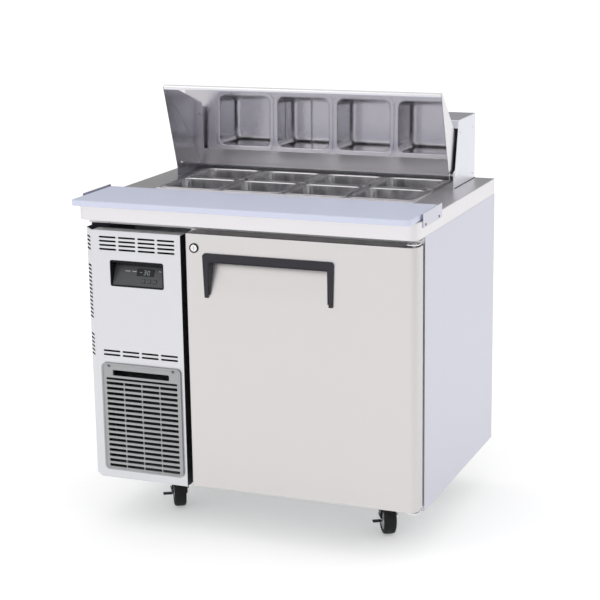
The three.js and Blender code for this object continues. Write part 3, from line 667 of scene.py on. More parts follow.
for vert in bm.verts:
    if vert.co.x < bend_start:
        vert.co.x, vert.co.y = folded(bend_start - vert.co.x)
    elif vert.co.x > high[0] + 1e-5:
        vert.co.y = face_y + vert.co.x - high[0]
        vert.co.x = high[0]
piece("louvred_cover", bm, steel_panel, "cabinet", "steel", "louvred_front_panel", wall=0.0012)

# The top flange takes the same pale grey painted light as the rail.
bm = bmesh.new()
block(bm, (bend_start, face_y + 0.0010, high[2] - 0.0013), (high[0] - 0.0002, -0.2604, high[2] - 0.0001))
piece("panel_top_flange", bm, strip_light_paint, "cabinet", "steel", soften=0.0003)
# A black strip on the panel's return edge is painted shade: it darkens the gap between the panel and the door.
bm = bmesh.new()
block(
    bm, (high[0] - 0.0001, face_y + 0.0006, low[2] + 0.002),
    (high[0] + 0.0008, face_y + 0.030, high[2] - 0.002)
)
piece("panel_edge_seal", bm, soft_rubber, "cabinet", "black_rubber", soften=0.0003)

# A matt black sheet stands behind the slots as painted shade: it makes the slots read as dark openings into the
# machine space.
slot_shade_black = Finish("matt_black_paint", (0.012, 0.012, 0.013), 0.8)
slot_shade_black.set("Roughness", slot_shade_black.noise((200, 200, 200)) * 0.2 + 0.7)
bm = bmesh.new()
block(bm, (low[0] + 0.004, face_y + 0.040, 0.440), (high[0] - 0.006, face_y + 0.041, 0.632))
block(bm, (low[0] + 0.004, face_y + 0.0405, 0.712), (high[0] - 0.006, face_y + 0.0415, high[2] - 0.004))
piece("slot_baffle", bm, slot_shade_black, "cabinet", "galvanised")

# ---------------------------------------------------------------- intake grille
# A grey moulding over the condenser, held by two screws. Horizontal bars and three upright ribs
# leave four columns of slots, with a finger slot above them to pull the grille off.
GRILLE_SLOT = (0.049, 0.0078)
GRILLE_COLUMNS = [-0.393 + 0.051 * column for column in range(4)]
GRILLE_ROWS = [0.1593 + 0.01387 * row for row in range(17)]
LONG_SLOT = ((-0.393, 0.3905), (-0.191, 0.3965))
FINGER_SLOT = ((-0.374, 0.4025), (-0.2135, 0.4175))
GRILLE_SCREWS = {"left": -0.384, "right": -0.2015}
SCREW_LEVEL = 0.4285
grille_grey = Finish("grey_moulded_plastic", (0.36, 0.365, 0.375), 0.55, IOR=1.46)
pebble = grille_grey.noise((1500, 1500, 1500), detail=2.0)
blush = grille_grey.noise((14, 14, 14))
grille_grey.tint(blush, (0.33, 0.335, 0.345), (0.40, 0.405, 0.415))
grille_grey.set("Roughness", pebble * 0.2 + 0.45)
grille_grey.bump(pebble, 0.15, 0.0002)

low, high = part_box("removable_grille")
bm = bmesh.new()
edges = loop(bm, 1, high[1], (low[0], low[2]), (high[0], high[2]), 0.012, 8)
edges += loop(bm, 1, high[1], *FINGER_SLOT, 0.003, 3)
edges += loop(bm, 1, high[1], *LONG_SLOT, 0.001, 1)
for z in GRILLE_ROWS:
    for x in GRILLE_COLUMNS:
        half = GRILLE_SLOT[1] / 2
        edges += loop(bm, 1, high[1], (x, z - half), (x + GRILLE_SLOT[0], z + half), 0.001, 1)
for x in GRILLE_SCREWS.values():
    edges += ring(bm, (x, high[1], SCREW_LEVEL), (0, 1, 0), 0.0026, 16)
fill(bm, edges, (0, low[1] - high[1], 0))
piece("intake_grille", bm, grille_grey, "cabinet", "grille_plastic", "removable_grille", soften=0.0008)

# A raised rim runs round the moulding.
bm = bmesh.new()
edges = loop(bm, 1, low[1] + 0.0002, (low[0], low[2]), (high[0], high[2]), 0.012, 8)
edges += loop(
    bm, 1, low[1] + 0.0002, (low[0] + 0.0045, low[2] + 0.0045), (high[0] - 0.0045, high[2] - 0.0045), 0.009,
    8
)
fill(bm, edges, (0, -0.0016, 0))
piece("intake_grille_rim", bm, grille_grey, "cabinet", "grille_plastic", soften=0.0006)

for side, x in GRILLE_SCREWS.items():
    bm = bmesh.new()
    screw(bm, (x, low[1] - 0.0003, SCREW_LEVEL), (0, -1, 0), 0.0042, 0.0012)
    disc(bm, (x, low[1] - 0.0004, SCREW_LEVEL), (0, 1, 0), 0.0022, 0.004, 16)
    piece(f"grille_fixing_{side}", bm, dark_screw, "cabinet", "chrome", f"grille_screw_{side}")

# ---------------------------------------------------------------- controller
# The thermostat sits in a black frame, its face leaning back under the frame's brow. It has a
# tinted window with a lit temperature, printed bars beside it and three keys.
glossy_black = Finish("black_gloss_plastic", (0.008, 0.008, 0.010), 0.22, IOR=1.5, Specular_IOR_Level=0.2)
glossy_black.set("Roughness", glossy_black.noise((40, 40, 40)) * 0.12 + 0.16)
face_grey = Finish("dark_grey_membrane", (0.055, 0.056, 0.062), 0.40, IOR=1.48)
face_grey.set("Roughness", face_grey.noise((800, 800, 800)) * 0.2 + 0.32)
face_grey.bump(face_grey.noise((1200, 1200, 1200)), 0.1, 0.0002)
print_grey = Finish("printed_light_grey", (0.62, 0.63, 0.65), 0.5)
print_grey.set("Roughness", print_grey.noise((500, 500, 500)) * 0.1 + 0.45)
lit_digit = Finish("lit_digits", (0.30, 0.33, 0.36), 0.4, Emission_Strength=0.35)
lit_digit.set("Emission Color", (0.75, 0.85, 1.0, 1))

for node, finish in (("controller_bezel", glossy_black), ("controller_face", face_grey)):
    frame["nodes"][node].data.materials.clear()
    frame["nodes"][node].data.materials.append(finish.material)

key_joint = next(joint for joint in frame["joints"] if joint["name"] == "key_1_press")
into = Vector(key_joint["axis"]).normalized()
up_face = Vector((1, 0, 0)).cross(into) * -1
if up_face.z < 0:
    up_face = -up_face
window_low, window_high = (Vector(c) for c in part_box("display_window"))


def face_frame(place):
    """Turns a flat shape drawn in X and Z so that it lies on the leaning face at a place."""
    turn = Matrix((Vector((1, 0, 0)), into, up_face)).transposed().to_4x4()
    return Matrix.Translation(place) @ turn


window_place = (window_low + window_high) / 2
bm = bmesh.new()
block(bm, (-0.024, -0.0005, -0.009), (0.024, 0.0005, 0.009))
bevel(bm, bm.edges[:], 0.0004, 2)
bm.transform(face_frame(window_place))
piece("display_lens", bm, glossy_black, "cabinet", "display_window", "display_window")

# Seven-bar numerals, drawn as bars: the temperature shows as minus, then two digits.
DIGIT = (0.0052, 0.0105)
BARS = {
    "top": ((-0.5, 0.5), (0.5, 0.5)), "middle": ((-0.5, 0), (0.5, 0)), "bottom": ((-0.5, -0.5), (0.5, -0.5)),
    "high_left": ((-0.5, 0), (-0.5, 0.5)), "high_right": ((0.5, 0), (0.5, 0.5)),
    "low_left": ((-0.5, -0.5), (-0.5, 0)), "low_right": ((0.5, -0.5), (0.5, 0)),
}
READING = (
    (-0.012, ("middle",)),
    (-0.001, ("top", "middle", "bottom", "high_right", "low_right")),
    (0.009, ("top", "bottom", "high_left", "high_right", "low_left", "low_right")),
)
bm = bmesh.new()
for middle, lit in READING:
    for name in lit:
        (x0, z0), (x1, z1) = BARS[name]
        thick = 0.0006
        block(
            bm,
            (middle + min(x0, x1) * DIGIT[0] - thick / 2, -0.0007, min(z0, z1) * DIGIT[1] - thick / 2),
            (middle + max(x0, x1) * DIGIT[0] + thick / 2, -0.0005, max(z0, z1) * DIGIT[1] + thick / 2),
        )
bm.transform(face_frame(window_place))
piece("display_digits", bm, lit_digit, "cabinet", "display_window")

# Short printed bars stand in for the labels beside the window and under the keys.
bm = bmesh.new()
LABELS = ((-0.058, 0.001, 0.014), (-0.038, 0.001, 0.012), (0.036, 0.005, 0.016))
for x, z, long in LABELS:
    block(bm, (x, -0.0002, z), (x + long, 0.0, z + 0.0016))
for x in (-0.004, 0.012, 0.028):
    block(bm, (x - 0.0035, -0.0002, -0.031), (x + 0.0035, 0.0, -0.0298))
bm.transform(face_frame(window_place + into * 0.0010))
piece("controller_printing", bm, print_grey, "cabinet", "charcoal_plastic")

for index in (1, 2, 3):
    key_low, key_high = (Vector(c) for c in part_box(f"controller_key_{index}"))
    bm = bmesh.new()
    block(bm, (-0.0045, -0.0024, -0.0045), (0.0045, 0.0024, 0.0045))
    bevel(bm, [e for e in bm.edges if abs(e.verts[0].co.y - e.verts[1].co.y) > 1e-4], 0.0018, 5)
    bevel(bm, folds(bm), 0.0005, 2)
    bm.transform(face_frame((key_low + key_high) / 2))
    piece(f"rounded_key_{index}", bm, face_grey, f"key_{index}", "black_plastic", f"controller_key_{index}")

# ---------------------------------------------------------------- door
# A foamed door with a folded stainless skin: a large radius on its hinge side, a small one on the
# other, and a pocket behind the handle that is deep at the top and runs out to nothing below.
DOOR_HINGE_R = 0.022
DOOR_EDGE_R = 0.006
POCKET = {"x": (-0.0903, 0.2263), "z": (0.634, 0.7243), "deep": 0.030}
steel_door = polished("steel_polished_door", (0.645, 0.62, 0.62), 0.40, 2, 0.015)
low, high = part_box("door_panel")
bm = bmesh.new()
block(bm, low, high)
bevel(bm, [e for e in bm.edges if on(e, x=high[0], y=low[1])], DOOR_HINGE_R, 14)
bevel(bm, [e for e in bm.edges if on(e, x=low[0], y=low[1])], DOOR_EDGE_R, 6)
bevel(bm, folds(bm), 0.0018, 3)
slice_at(bm, x=POCKET["x"], z=POCKET["z"])
pocket = [
    f for f in bm.faces
    if on(f, y=low[1]) and inside(
        f, (POCKET["x"][0], -1, POCKET["z"][0]), (POCKET["x"][1], 1, POCKET["z"][1])
    )
]
pushed = verts_of(bmesh.ops.extrude_face_region(bm, geom=pocket)["geom"])
bmesh.ops.delete(bm, geom=[f for f in pocket if f.is_valid], context="FACES_ONLY")
top_row = [v for v in pushed if abs(v.co.z - POCKET["z"][1]) < 1e-5]
bmesh.ops.translate(bm, vec=(0, POCKET["deep"], 0), verts=top_row)
bmesh.ops.remove_doubles(bm, verts=bm.verts[:], dist=1e-6)
bmesh.ops.dissolve_degenerate(bm, edges=bm.edges[:], dist=1e-6)
piece("door_skin", bm, steel_door, "door", "steel", "door_panel")
slab("door_inner_liner", "door_liner", liner_steel, "door", "liner", 0.0006)

# The seal is a hollow rubber bellows with a flat magnetic face, pushed into the liner all round.
low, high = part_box("door_gasket")
GASKET_WIDE = 0.016
bm = bmesh.new()
middle = (low[1] + high[1]) / 2
for back, front, inset, wide in ((low[1], middle, 0.003, 0.010), (middle, high[1], 0.0, GASKET_WIDE)):
    edges = loop(bm, 1, back, (low[0] + inset, low[2] + inset), (high[0] - inset, high[2] - inset), 0.006, 4)
    edges += loop(
        bm, 1, back,
        (low[0] + inset + wide, low[2] + inset + wide), (high[0] - inset - wide, high[2] - inset - wide),
        0.003, 4,
    )
    fill(bm, edges, (0, front - back - 0.0002, 0))
piece("door_bellows_seal", bm, soft_rubber, "door", "black_rubber", "door_gasket", soften=0.0008)

# ---------------------------------------------------------------- door handle
# One charcoal moulding lines the pocket: a bar to pull on, a roof behind it and two tapering
# cheeks, with a narrow frame that lies on the door's face.
charcoal = Finish("charcoal_moulding", (0.026, 0.025, 0.031), 0.5, IOR=1.46, Specular_IOR_Level=0.3)
pebble = charcoal.noise((1400, 1400, 1400), detail=2.0)
charcoal.tint(charcoal.noise((25, 25, 25)), (0.022, 0.021, 0.027), (0.032, 0.030, 0.038))
charcoal.set("Roughness", pebble * 0.25 + 0.36)
charcoal.bump(pebble, 0.2, 0.0003)

low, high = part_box("door_handle")
door_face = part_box("door_panel")[0][1]
HANDLE_OUTLINE = (
    (-0.101, 0.632), (-0.105, 0.744), (0.241, 0.744), (0.237, 0.632),
    (0.2262, 0.632), (0.2255, 0.724), (-0.0895, 0.724), (-0.0902, 0.632),
)
bm = bmesh.new()
corners = [bm.verts.new((x, door_face - 0.0003, z)) for x, z in HANDLE_OUTLINE]
bm.faces.new(corners)
bmesh.ops.bevel(
    bm, geom=corners[1:3], offset=0.009, offset_type="OFFSET", segments=6,
    profile=0.5, affect="VERTICES", clamp_overlap=True, material=-1,
)
raised = bmesh.ops.extrude_face_region(bm, geom=bm.faces[:], use_keep_orig=True)["geom"]
bmesh.ops.translate(
    bm, vec=(0, low[1] - door_face + 0.0003, 0), verts=verts_of(raised)
)
pocket_low, pocket_high = POCKET["z"]
for x, thick in ((POCKET["x"][0] + 0.0006, 0.0025), (POCKET["x"][1] - 0.0031, 0.0025)):
    cheek = [
        bm.verts.new((x, y, z))
        for y, z in (
            (low[1] + 0.0008, pocket_high - 0.002),
            (high[1], pocket_high - 0.002),
            (door_face + 0.0005, pocket_low + 0.005),
            (low[1] + 0.0008, pocket_low + 0.005),
        )
    ]
    face = bm.faces.new(cheek)
    raised = bmesh.ops.extrude_face_region(bm, geom=[face], use_keep_orig=True)["geom"]
    bmesh.ops.translate(bm, vec=(thick, 0, 0), verts=verts_of(raised))
block(
    bm, (POCKET["x"][0] + 0.0006, low[1], pocket_high - 0.0033),
    (POCKET["x"][1] - 0.0006, high[1], pocket_high - 0.0003)
)
piece("pull_handle", bm, charcoal, "door", "charcoal_plastic", "door_handle", soften=0.0009)

# ---------------------------------------------------------------- door lock
# A keyed lock: a plated cylinder with a keyway, in a dark collar.
lock = Vector(next(joint for joint in frame["joints"] if joint["name"] == "lock_turn")["pos_m"])
low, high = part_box("door_lock_ring")
bm = bmesh.new()
edges = ring(bm, (lock.x, high[1], lock.z), (0, 1, 0), 0.0120, 40)
edges += ring(bm, (lock.x, high[1], lock.z), (0, 1, 0), 0.0091, 40)
fill(bm, edges, (0, low[1] - high[1], 0))
piece("lock_collar", bm, glossy_black, "door", "black_plastic", "door_lock_ring", soften=0.0007, crease=50)
low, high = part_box("door_lock_cylinder")
bm = bmesh.new()
edges = ring(bm, (lock.x, high[1], lock.z), (0, 1, 0), 0.0090, 40)
edges += loop(
    bm, 1, high[1], (lock.x - 0.0009, lock.z - 0.0042), (lock.x + 0.0009, lock.z + 0.0042), 0.0003, 1
)
fill(bm, edges, (0, low[1] - high[1], 0))
piece(
    "lock_barrel", bm, bright_plate, "lock_cylinder", "chrome", "door_lock_cylinder", soften=0.0006,
    crease=50
)

# ---------------------------------------------------------------- door hinges
# A plated angle above and below the door carries a fixed pin that the door turns on. Its arm is
# rounded like the door's corner.
pin = Vector(next(joint for joint in frame["joints"] if joint["name"] == "door_swing")["pos_m"])
for name, node in (("upper", "door_hinge_top"), ("lower", "door_hinge_bottom")):
    low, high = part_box(node)
    door_low, door_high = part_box("door_panel")
    plate_z = door_high[2] + 0.003 if name == "upper" else door_low[2] - 0.006
    bm = bmesh.new()
    block(bm, (low[0], low[1], plate_z), (high[0], high[1], plate_z + 0.003))
    bevel(
        bm, [e for e in bm.edges if on(e, y=low[1]) and abs(e.verts[0].co.z - e.verts[1].co.z) > 1e-4],
        0.012, 8
    )
    block(bm, (low[0], high[1] - 0.003, plate_z - 0.002), (high[0], high[1], plate_z + 0.010))
    if name == "upper":
        disc(bm, (pin.x, pin.y, low[2]), (0, 0, 1), 0.005, plate_z - low[2] + 0.003, 24)
        disc(bm, (pin.x, pin.y, plate_z + 0.003), (0, 0, 1), 0.0075, 0.002, 6)
    else:
        disc(bm, (pin.x, pin.y, plate_z), (0, 0, 1), 0.005, high[2] - plate_z, 24)
        disc(bm, (pin.x, pin.y, plate_z), (0, 0, -1), 0.0075, 0.003, 6)
    piece(f"hinge_{name}_arm", bm, bright_plate, "cabinet", "galvanised", node, soften=0.0005)

# ---------------------------------------------------------------- rear hood
# An open-fronted cowl of folded stainless covers the back row of pans. Its roof ends in a narrow
# lip, its ends lean with the open lid, and studs with domed nuts fix it down.
HOOD_EAR = 0.0485
HOOD_LIP = 0.021
low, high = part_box("rear_hood")
lid_pivot = Vector(next(joint for joint in frame["joints"] if joint["name"] == "lid_tilt")["pos_m"])
brow = 0.195
lean = (brow - 0.158) / (high[2] - 0.850)
hood_outline = (
    (lid_pivot.y - 0.016, low[2]),
    (lid_pivot.y - 0.016, lid_pivot.z + 0.010),
    (0.158 + lean * HOOD_EAR, 0.850 + HOOD_EAR),
    (brow - lean * HOOD_LIP, high[2] - HOOD_LIP),
    (brow, high[2]),
    (high[1], high[2]),
    (high[1], low[2]),
)
hood_steel = polished("steel_polished_hood", (0.72, 0.72, 0.78), 0.33, 0, 0.02)


def profile_shell(bm, points, half, open_spans):
    """A closed solid of one outline along X. Spans of its rim are then taken away."""
    verts = [bm.verts.new((-half, y, z)) for y, z in points]
    face = bm.faces.new(verts)
    far = bmesh.ops.extrude_face_region(bm, geom=[face], use_keep_orig=True)["geom"]
    bmesh.ops.translate(bm, vec=(2 * half, 0, 0), verts=verts_of(far))
    bmesh.ops.recalc_face_normals(bm, faces=bm.faces)
    gone = []
    for a, b in open_spans:
        middle = Vector((0, (points[a][0] + points[b][0]) / 2, (points[a][1] + points[b][1]) / 2))
        gone += [f for f in bm.faces if len(f.verts) == 4 and (f.calc_center_median() - middle).length < 1e-5]
    bmesh.ops.delete(bm, geom=gone, context="FACES")


bm = bmesh.new()
profile_shell(bm, hood_outline, high[0], ((0, 1), (1, 2), (2, 3), (6, 0)))
bevel(bm, [e for e in folds(bm, 60)], 0.0022, 3)
for sign in (-1, 1):
    for y, z in ((0.330, 0.866), (0.330, 0.990), (0.215, 0.990)):
        screw(bm, (sign * high[0], y, z), (sign, 0, 0), 0.0030, 0.0010)
piece("hood_cowl", bm, hood_steel, "cabinet", "steel", "rear_hood", wall=0.0012)

# A thin dark bead seals the foot of the cowl to the worktop.
bm = bmesh.new()
for x0, x1, y0, y1 in (
    (-high[0] - 0.001, -high[0] + 0.001, 0.165, high[1]),
    (high[0] - 0.001, high[0] + 0.001, 0.165, high[1]),
    (-high[0], high[0], high[1] - 0.001, high[1] + 0.0008),
):
    block(bm, (x0, y0, 0.8502), (x1, y1, 0.8514))
piece("hood_foot_bead", bm, soft_rubber, "cabinet", "black_rubber")

for side in ("left", "right"):
    pin_low, pin_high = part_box(f"lid_pivot_pin_{side}")
    sign = 1 if side == "right" else -1
    inner = min(abs(pin_low[0]), abs(pin_high[0]))
    outer = max(abs(pin_low[0]), abs(pin_high[0]))
    bm = bmesh.new()
    disc(bm, (sign * inner, lid_pivot.y, lid_pivot.z), (sign, 0, 0), 0.0040, outer - inner - 0.0018, 28)
    screw(bm, (sign * (outer - 0.0020), lid_pivot.y, lid_pivot.z), (sign, 0, 0), 0.0070, 0.0016)
    piece(f"lid_pivot_{side}", bm, bright_plate, "cabinet", "chrome", f"lid_pivot_pin_{side}")

# ---------------------------------------------------------------- lid
# The tilting cover is a folded sheet with a turned-in front lip and a triangular wing welded to
# each end. A mirror-polished sheet lines it, creased where the cover bends down to its foot.
LID_LIP = (0.068, 1.104)
LID_CREST = (0.077, 1.107)
LID_CREASE = (0.267, 0.911)
LID_FOOT = (0.292, 0.862)
LID_TOE = (0.142, 0.872)
LID_HEM = 0.0100
lid_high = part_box("lid_shell")[1]
lid_steel = polished("steel_polished_lid", (0.72, 0.715, 0.74), 0.26, 0, 0.03)
bm = bmesh.new()
lid_points = (LID_LIP, LID_CREST, LID_CREASE, LID_FOOT, LID_TOE)
profile_shell(bm, lid_points, lid_high[0], ((3, 4), (4, 0)))
bevel(bm, folds(bm, 60), 0.0016, 3)
front = [
    e for e in bm.edges
    if e.is_boundary and all(
        abs(v.co.y - LID_LIP[0]) < 2e-3 and abs(v.co.z - LID_LIP[1]) < 3e-3 for v in e.verts
    )
    and abs(e.verts[0].co.x - e.verts[1].co.x) > 0.1
]
turned = [
    g for g in bmesh.ops.extrude_edge_only(bm, edges=front)["geom"] if isinstance(g, bmesh.types.BMVert)
]
bmesh.ops.translate(bm, vec=(0, LID_HEM * 0.30, -LID_HEM * 0.95), verts=turned)
piece("lid_cover", bm, lid_steel, "lid", "steel", "lid_shell", wall=0.0012)

mirror_steel = Finish("steel_mirror_polished", (0.78, 0.77, 0.81), 0.05, metallic=1.0)
swirl = mirror_steel.noise((5, 5, 5), detail=2.0)
rub = mirror_steel.noise((3, 220, 220), detail=2.0)
mirror_steel.tint(swirl, (0.75, 0.74, 0.78), (0.81, 0.80, 0.83))
mirror_steel.set("Roughness", rub * 0.05 + swirl * 0.04 + 0.02)
mirror_steel.bump(swirl, 0.05, 0.002)
liner_low, liner_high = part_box("lid_mirror_liner")
crest, crease, foot = Vector(LID_CREST), Vector(LID_CREASE), Vector(LID_FOOT)
LINER_INSET = 0.0015
LINER_SHEET = 0.0008
brushed_steel = polished("steel_brushed_strip", (0.88, 0.87, 0.89), 0.50, 0, 0.04)
for name, upper, lower, finish, nodes in (
    ("lid_mirror", crest + (crease - crest) * 0.046, crease, mirror_steel, ("lid_mirror_liner",)),
    ("lid_brushed_strip", crease, foot + (crease - foot) * 0.032, brushed_steel, ()),
):
    run = (lower - upper).normalized()
    inward = Vector((run.y, -run.x))
    bm = bmesh.new()
    section = [
        upper + inward * LINER_INSET,
        lower + inward * LINER_INSET,
        lower + inward * (LINER_INSET + LINER_SHEET),
        upper + inward * (LINER_INSET + LINER_SHEET),
    ]
    end = bm.faces.new([bm.verts.new((liner_low[0], *corner)) for corner in section])
    far = bmesh.ops.extrude_face_region(bm, geom=[end], use_keep_orig=True)["geom"]
    bmesh.ops.translate(
        bm, vec=(liner_high[0] - liner_low[0], 0, 0), verts=verts_of(far)
    )
    piece(name, bm, finish, "lid", "mirror_steel", *nodes)

# ---------------------------------------------------------------- pan well
# A folded frame with a raised rim divides the well, and eight sixth-size pans hang in it by their
# rolled flanges. The pans are drawn from thin polished sheet with rounded corners.
low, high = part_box("pan_frame")
pans = {
    name: tuple(Vector(c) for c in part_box(name)) for name in frame["nodes"]
    if name.startswith("pan_") and name != "pan_frame"
}
bm = bmesh.new()
edges = loop(bm, 2, high[2], (low[0], low[1]), (high[0], high[1]), 0.004, 4)
for pan_low, pan_high in pans.values():
    middle = (pan_low + pan_high) / 2
    edges += loop(
        bm, 2, high[2], (middle.x - 0.080, middle.y - 0.073), (middle.x + 0.080, middle.y + 0.073), 0.018, 5
    )
fill(bm, edges, (0, 0, -0.0105))
piece("well_frame", bm, steel_x, "cabinet", "steel", "pan_frame", soften=0.0008)

pan_steel = Finish("steel_drawn_bright", (0.66, 0.655, 0.67), 0.16, metallic=1.0)
draw = pan_steel.noise((70, 70, 9), detail=2.0)
pan_steel.tint(draw, (0.60, 0.595, 0.61), (0.70, 0.695, 0.71))
pan_steel.set("Roughness", draw * 0.14 + 0.10)
pan_steel.bump(draw, 0.08, 0.0006)
for name, (pan_low, pan_high) in pans.items():
    middle = (pan_low + pan_high) / 2
    bm = bmesh.new()
    body = (0.0765, 0.0695)
    edges = loop(
        bm, 2, pan_high.z, (middle.x - body[0], middle.y - body[1]),
        (middle.x + body[0], middle.y + body[1]), 0.019, 7
    )
    down = bmesh.ops.extrude_edge_only(bm, edges=edges)["geom"]
    low_verts = verts_of(down)
    low_edges = [
        g for g in down if isinstance(g, bmesh.types.BMEdge) and all(v in low_verts for v in g.verts)
    ]
    bmesh.ops.translate(bm, vec=(0, 0, pan_low.z - pan_high.z + 0.0002), verts=low_verts)
    bmesh.ops.scale(
        bm, vec=(0.9, 0.9, 1), verts=low_verts, space=Matrix.Translation((-middle.x, -middle.y, 0))
    )
    bmesh.ops.contextual_create(bm, geom=low_edges)
    bevel(bm, low_edges, 0.011, 5)
    flange = bmesh.ops.extrude_edge_only(bm, edges=edges)["geom"]
    out_verts = verts_of(flange)
    out_edges = [
        g for g in flange if isinstance(g, bmesh.types.BMEdge) and all(v in out_verts for v in g.verts)
    ]
    spread = ((pan_high.x - middle.x - 0.0006) / body[0], (pan_high.y - middle.y - 0.0006) / body[1], 1)
    bmesh.ops.scale(bm, vec=spread, verts=out_verts, space=Matrix.Translation((-middle.x, -middle.y, 0)))
    rolled = bmesh.ops.extrude_edge_only(bm, edges=out_edges)["geom"]
    bmesh.ops.translate(bm, vec=(0, 0, -0.0011), verts=verts_of(rolled))
    bevel(bm, [e for e in edges if e.is_valid], 0.0025, 3)
    piece(f"{name}_tub", bm, pan_steel, f"{name}_body", "mirror_steel", name, wall=-0.0007)

# ---------------------------------------------------------------- casters
# Each caster is a black pressed fork under a plate, with a rubber tyre on a pressed hub and a
# plated axle bolt. The front two have a pressed brake lever on the side of the wheel.
WHEEL_R = 0.045
TREAD_HALF = 0.016
HUB_R = 0.031
FORK_INNER = 0.0175
FORK_SHEET = 0.003
BLADE_OUTLINE = (
    (-0.024, -0.008), (0.020, -0.008), (0.012, -0.030), (-0.019, -0.080),
    (-0.023, -0.084), (-0.037, -0.084), (-0.041, -0.080), (-0.042, -0.035),
)
black_enamel = Finish("black_enamel_steel", (0.010, 0.010, 0.012), 0.32, IOR=1.5, Specular_IOR_Level=0.3)
black_enamel.set("Roughness", black_enamel.noise((120, 120, 120)) * 0.2 + 0.24)
black_enamel.bump(black_enamel.noise((500, 500, 500)), 0.08, 0.0003)
tyre = Finish("black_tyre_rubber", (0.012, 0.012, 0.013), 0.6, IOR=1.5, Specular_IOR_Level=0.2)
scuff = tyre.noise((60, 60, 60))
tyre.tint(scuff, (0.009, 0.009, 0.010), (0.018, 0.018, 0.019))
tyre.set("Roughness", scuff * 0.3 + 0.45)
tyre.bump(tyre.noise((700, 700, 700)), 0.2, 0.0003)
grey_hub = Finish("grey_nylon_hub", (0.42, 0.43, 0.45), 0.45, IOR=1.5)
grey_hub.set("Roughness", grey_hub.noise((300, 300, 300)) * 0.2 + 0.35)

for corner, place in CASTER_PLACES.items():
    roll = next(joint for joint in frame["joints"] if joint["name"] == f"roll_{corner}")
    axle = Vector(roll["axis"]).normalized()
    hub = Vector(roll["pos_m"])
    forward = Vector((-axle.y, axle.x, 0))
    fork_place = Matrix.Translation(place) @ Matrix((axle, forward, Vector((0, 0, 1)))).transposed().to_4x4()
    wheel_place = Matrix.Translation(hub) @ Matrix((axle, forward, Vector((0, 0, 1)))).transposed().to_4x4()

    bm = bmesh.new()
    disc(bm, (0, 0, -0.0003), (0, 0, -1), 0.0270, 0.0060, 32)
    disc(bm, (0, 0, -0.0063), (0, 0, -1), 0.0240, 0.0045, 32, tip=0.0200)
    block(bm, (-FORK_INNER - FORK_SHEET, -0.024, -0.0125), (FORK_INNER + FORK_SHEET, 0.020, -0.0090))
    for x in (-FORK_INNER - FORK_SHEET, FORK_INNER):
        blade = bm.faces.new([bm.verts.new((x, y, z)) for y, z in BLADE_OUTLINE])
        depth = bmesh.ops.extrude_face_region(bm, geom=[blade], use_keep_orig=True)["geom"]
        bmesh.ops.translate(bm, vec=(FORK_SHEET, 0, 0), verts=verts_of(depth))
    bm.transform(fork_place)
    piece(
        f"fork_{corner}", bm, black_enamel, f"fork_{corner}", "black_steel", f"caster_fork_{corner}",
        soften=0.0009
    )

    bm = bmesh.new()
    tread = [
        (HUB_R, TREAD_HALF - 0.003), (HUB_R + 0.003, TREAD_HALF), (WHEEL_R - 0.006, TREAD_HALF),
        (WHEEL_R - 0.0018, TREAD_HALF - 0.002), (WHEEL_R, TREAD_HALF - 0.007),
    ]
    ring_points = [(-x, r) for r, x in tread] + [(x, r) for r, x in reversed(tread)]
    verts = [bm.verts.new((x, 0, r)) for x, r in ring_points]
    section = [bm.edges.new(pair) for pair in zip(verts, verts[1:] + verts[:1])]
    bmesh.ops.spin(
        bm, geom=section, cent=(0, 0, 0), axis=(1, 0, 0), angle=2 * math.pi, steps=56, use_merge=True,
        use_duplicate=False
    )
    bmesh.ops.remove_doubles(bm, verts=bm.verts[:], dist=1e-6)
    bm.transform(wheel_place)
    piece(f"tyre_{corner}", bm, tyre, f"wheel_{corner}", "black_rubber", f"caster_wheel_{corner}", crease=50)

    bm = bmesh.new()
    half = TREAD_HALF - 0.0045
    hub_section = [
        (-0.0162, 0.0052), (-0.0162, 0.013), (-half, 0.016), (-half, 0.027), (-TREAD_HALF + 0.002, 0.0300),
        (-TREAD_HALF + 0.002, HUB_R + 0.0005)
    ]
    hub_section += [(-x, r) for x, r in reversed(hub_section)]
    verts = [bm.verts.new((x, 0, r)) for x, r in hub_section]
    section = [bm.edges.new(pair) for pair in zip(verts, verts[1:] + verts[:1])]
    bmesh.ops.spin(
        bm, geom=section, cent=(0, 0, 0), axis=(1, 0, 0), angle=2 * math.pi, steps=56, use_merge=True,
        use_duplicate=False
    )
    bmesh.ops.remove_doubles(bm, verts=bm.verts[:], dist=1e-6)
    bm.transform(wheel_place)
    piece(f"hub_{corner}", bm, grey_hub, f"wheel_{corner}", "galvanised")

    bm = bmesh.new()
    disc(bm, (-0.0235, 0, 0), (1, 0, 0), 0.0048, 0.047, 24)
    disc(bm, (-0.0205, 0, 0), (-1, 0, 0), 0.0085, 0.0045, 6)
    disc(bm, (0.0207, 0, 0), (1, 0, 0), 0.0085, 0.0050, 6)
    bm.transform(wheel_place)
    piece(f"axle_bolt_{corner}", bm, bright_plate, f"fork_{corner}", "chrome", soften=0.0004)

    if corner.startswith("front"):
        bm = bmesh.new()
        disc(bm, (-0.0252, 0, 0), (1, 0, 0), 0.0110, 0.0030, 32)
        block(bm, (-0.0246, -0.036, -0.004), (-0.0222, 0.000, 0.006))
        bm.transform(wheel_place)
        piece(
            f"brake_arm_{corner}", bm, bright_plate, f"brake_{corner}", "galvanised", f"brake_lever_{corner}",
            soften=0.0012,
        )
        bm = bmesh.new()
        block(bm, (-0.0460, -0.041, 0.0005), (-0.0222, -0.027, 0.0045))
        bm.transform(wheel_place)
        piece(f"brake_tab_{corner}", bm, black_enamel, f"brake_{corner}", "black_steel", soften=0.0012)

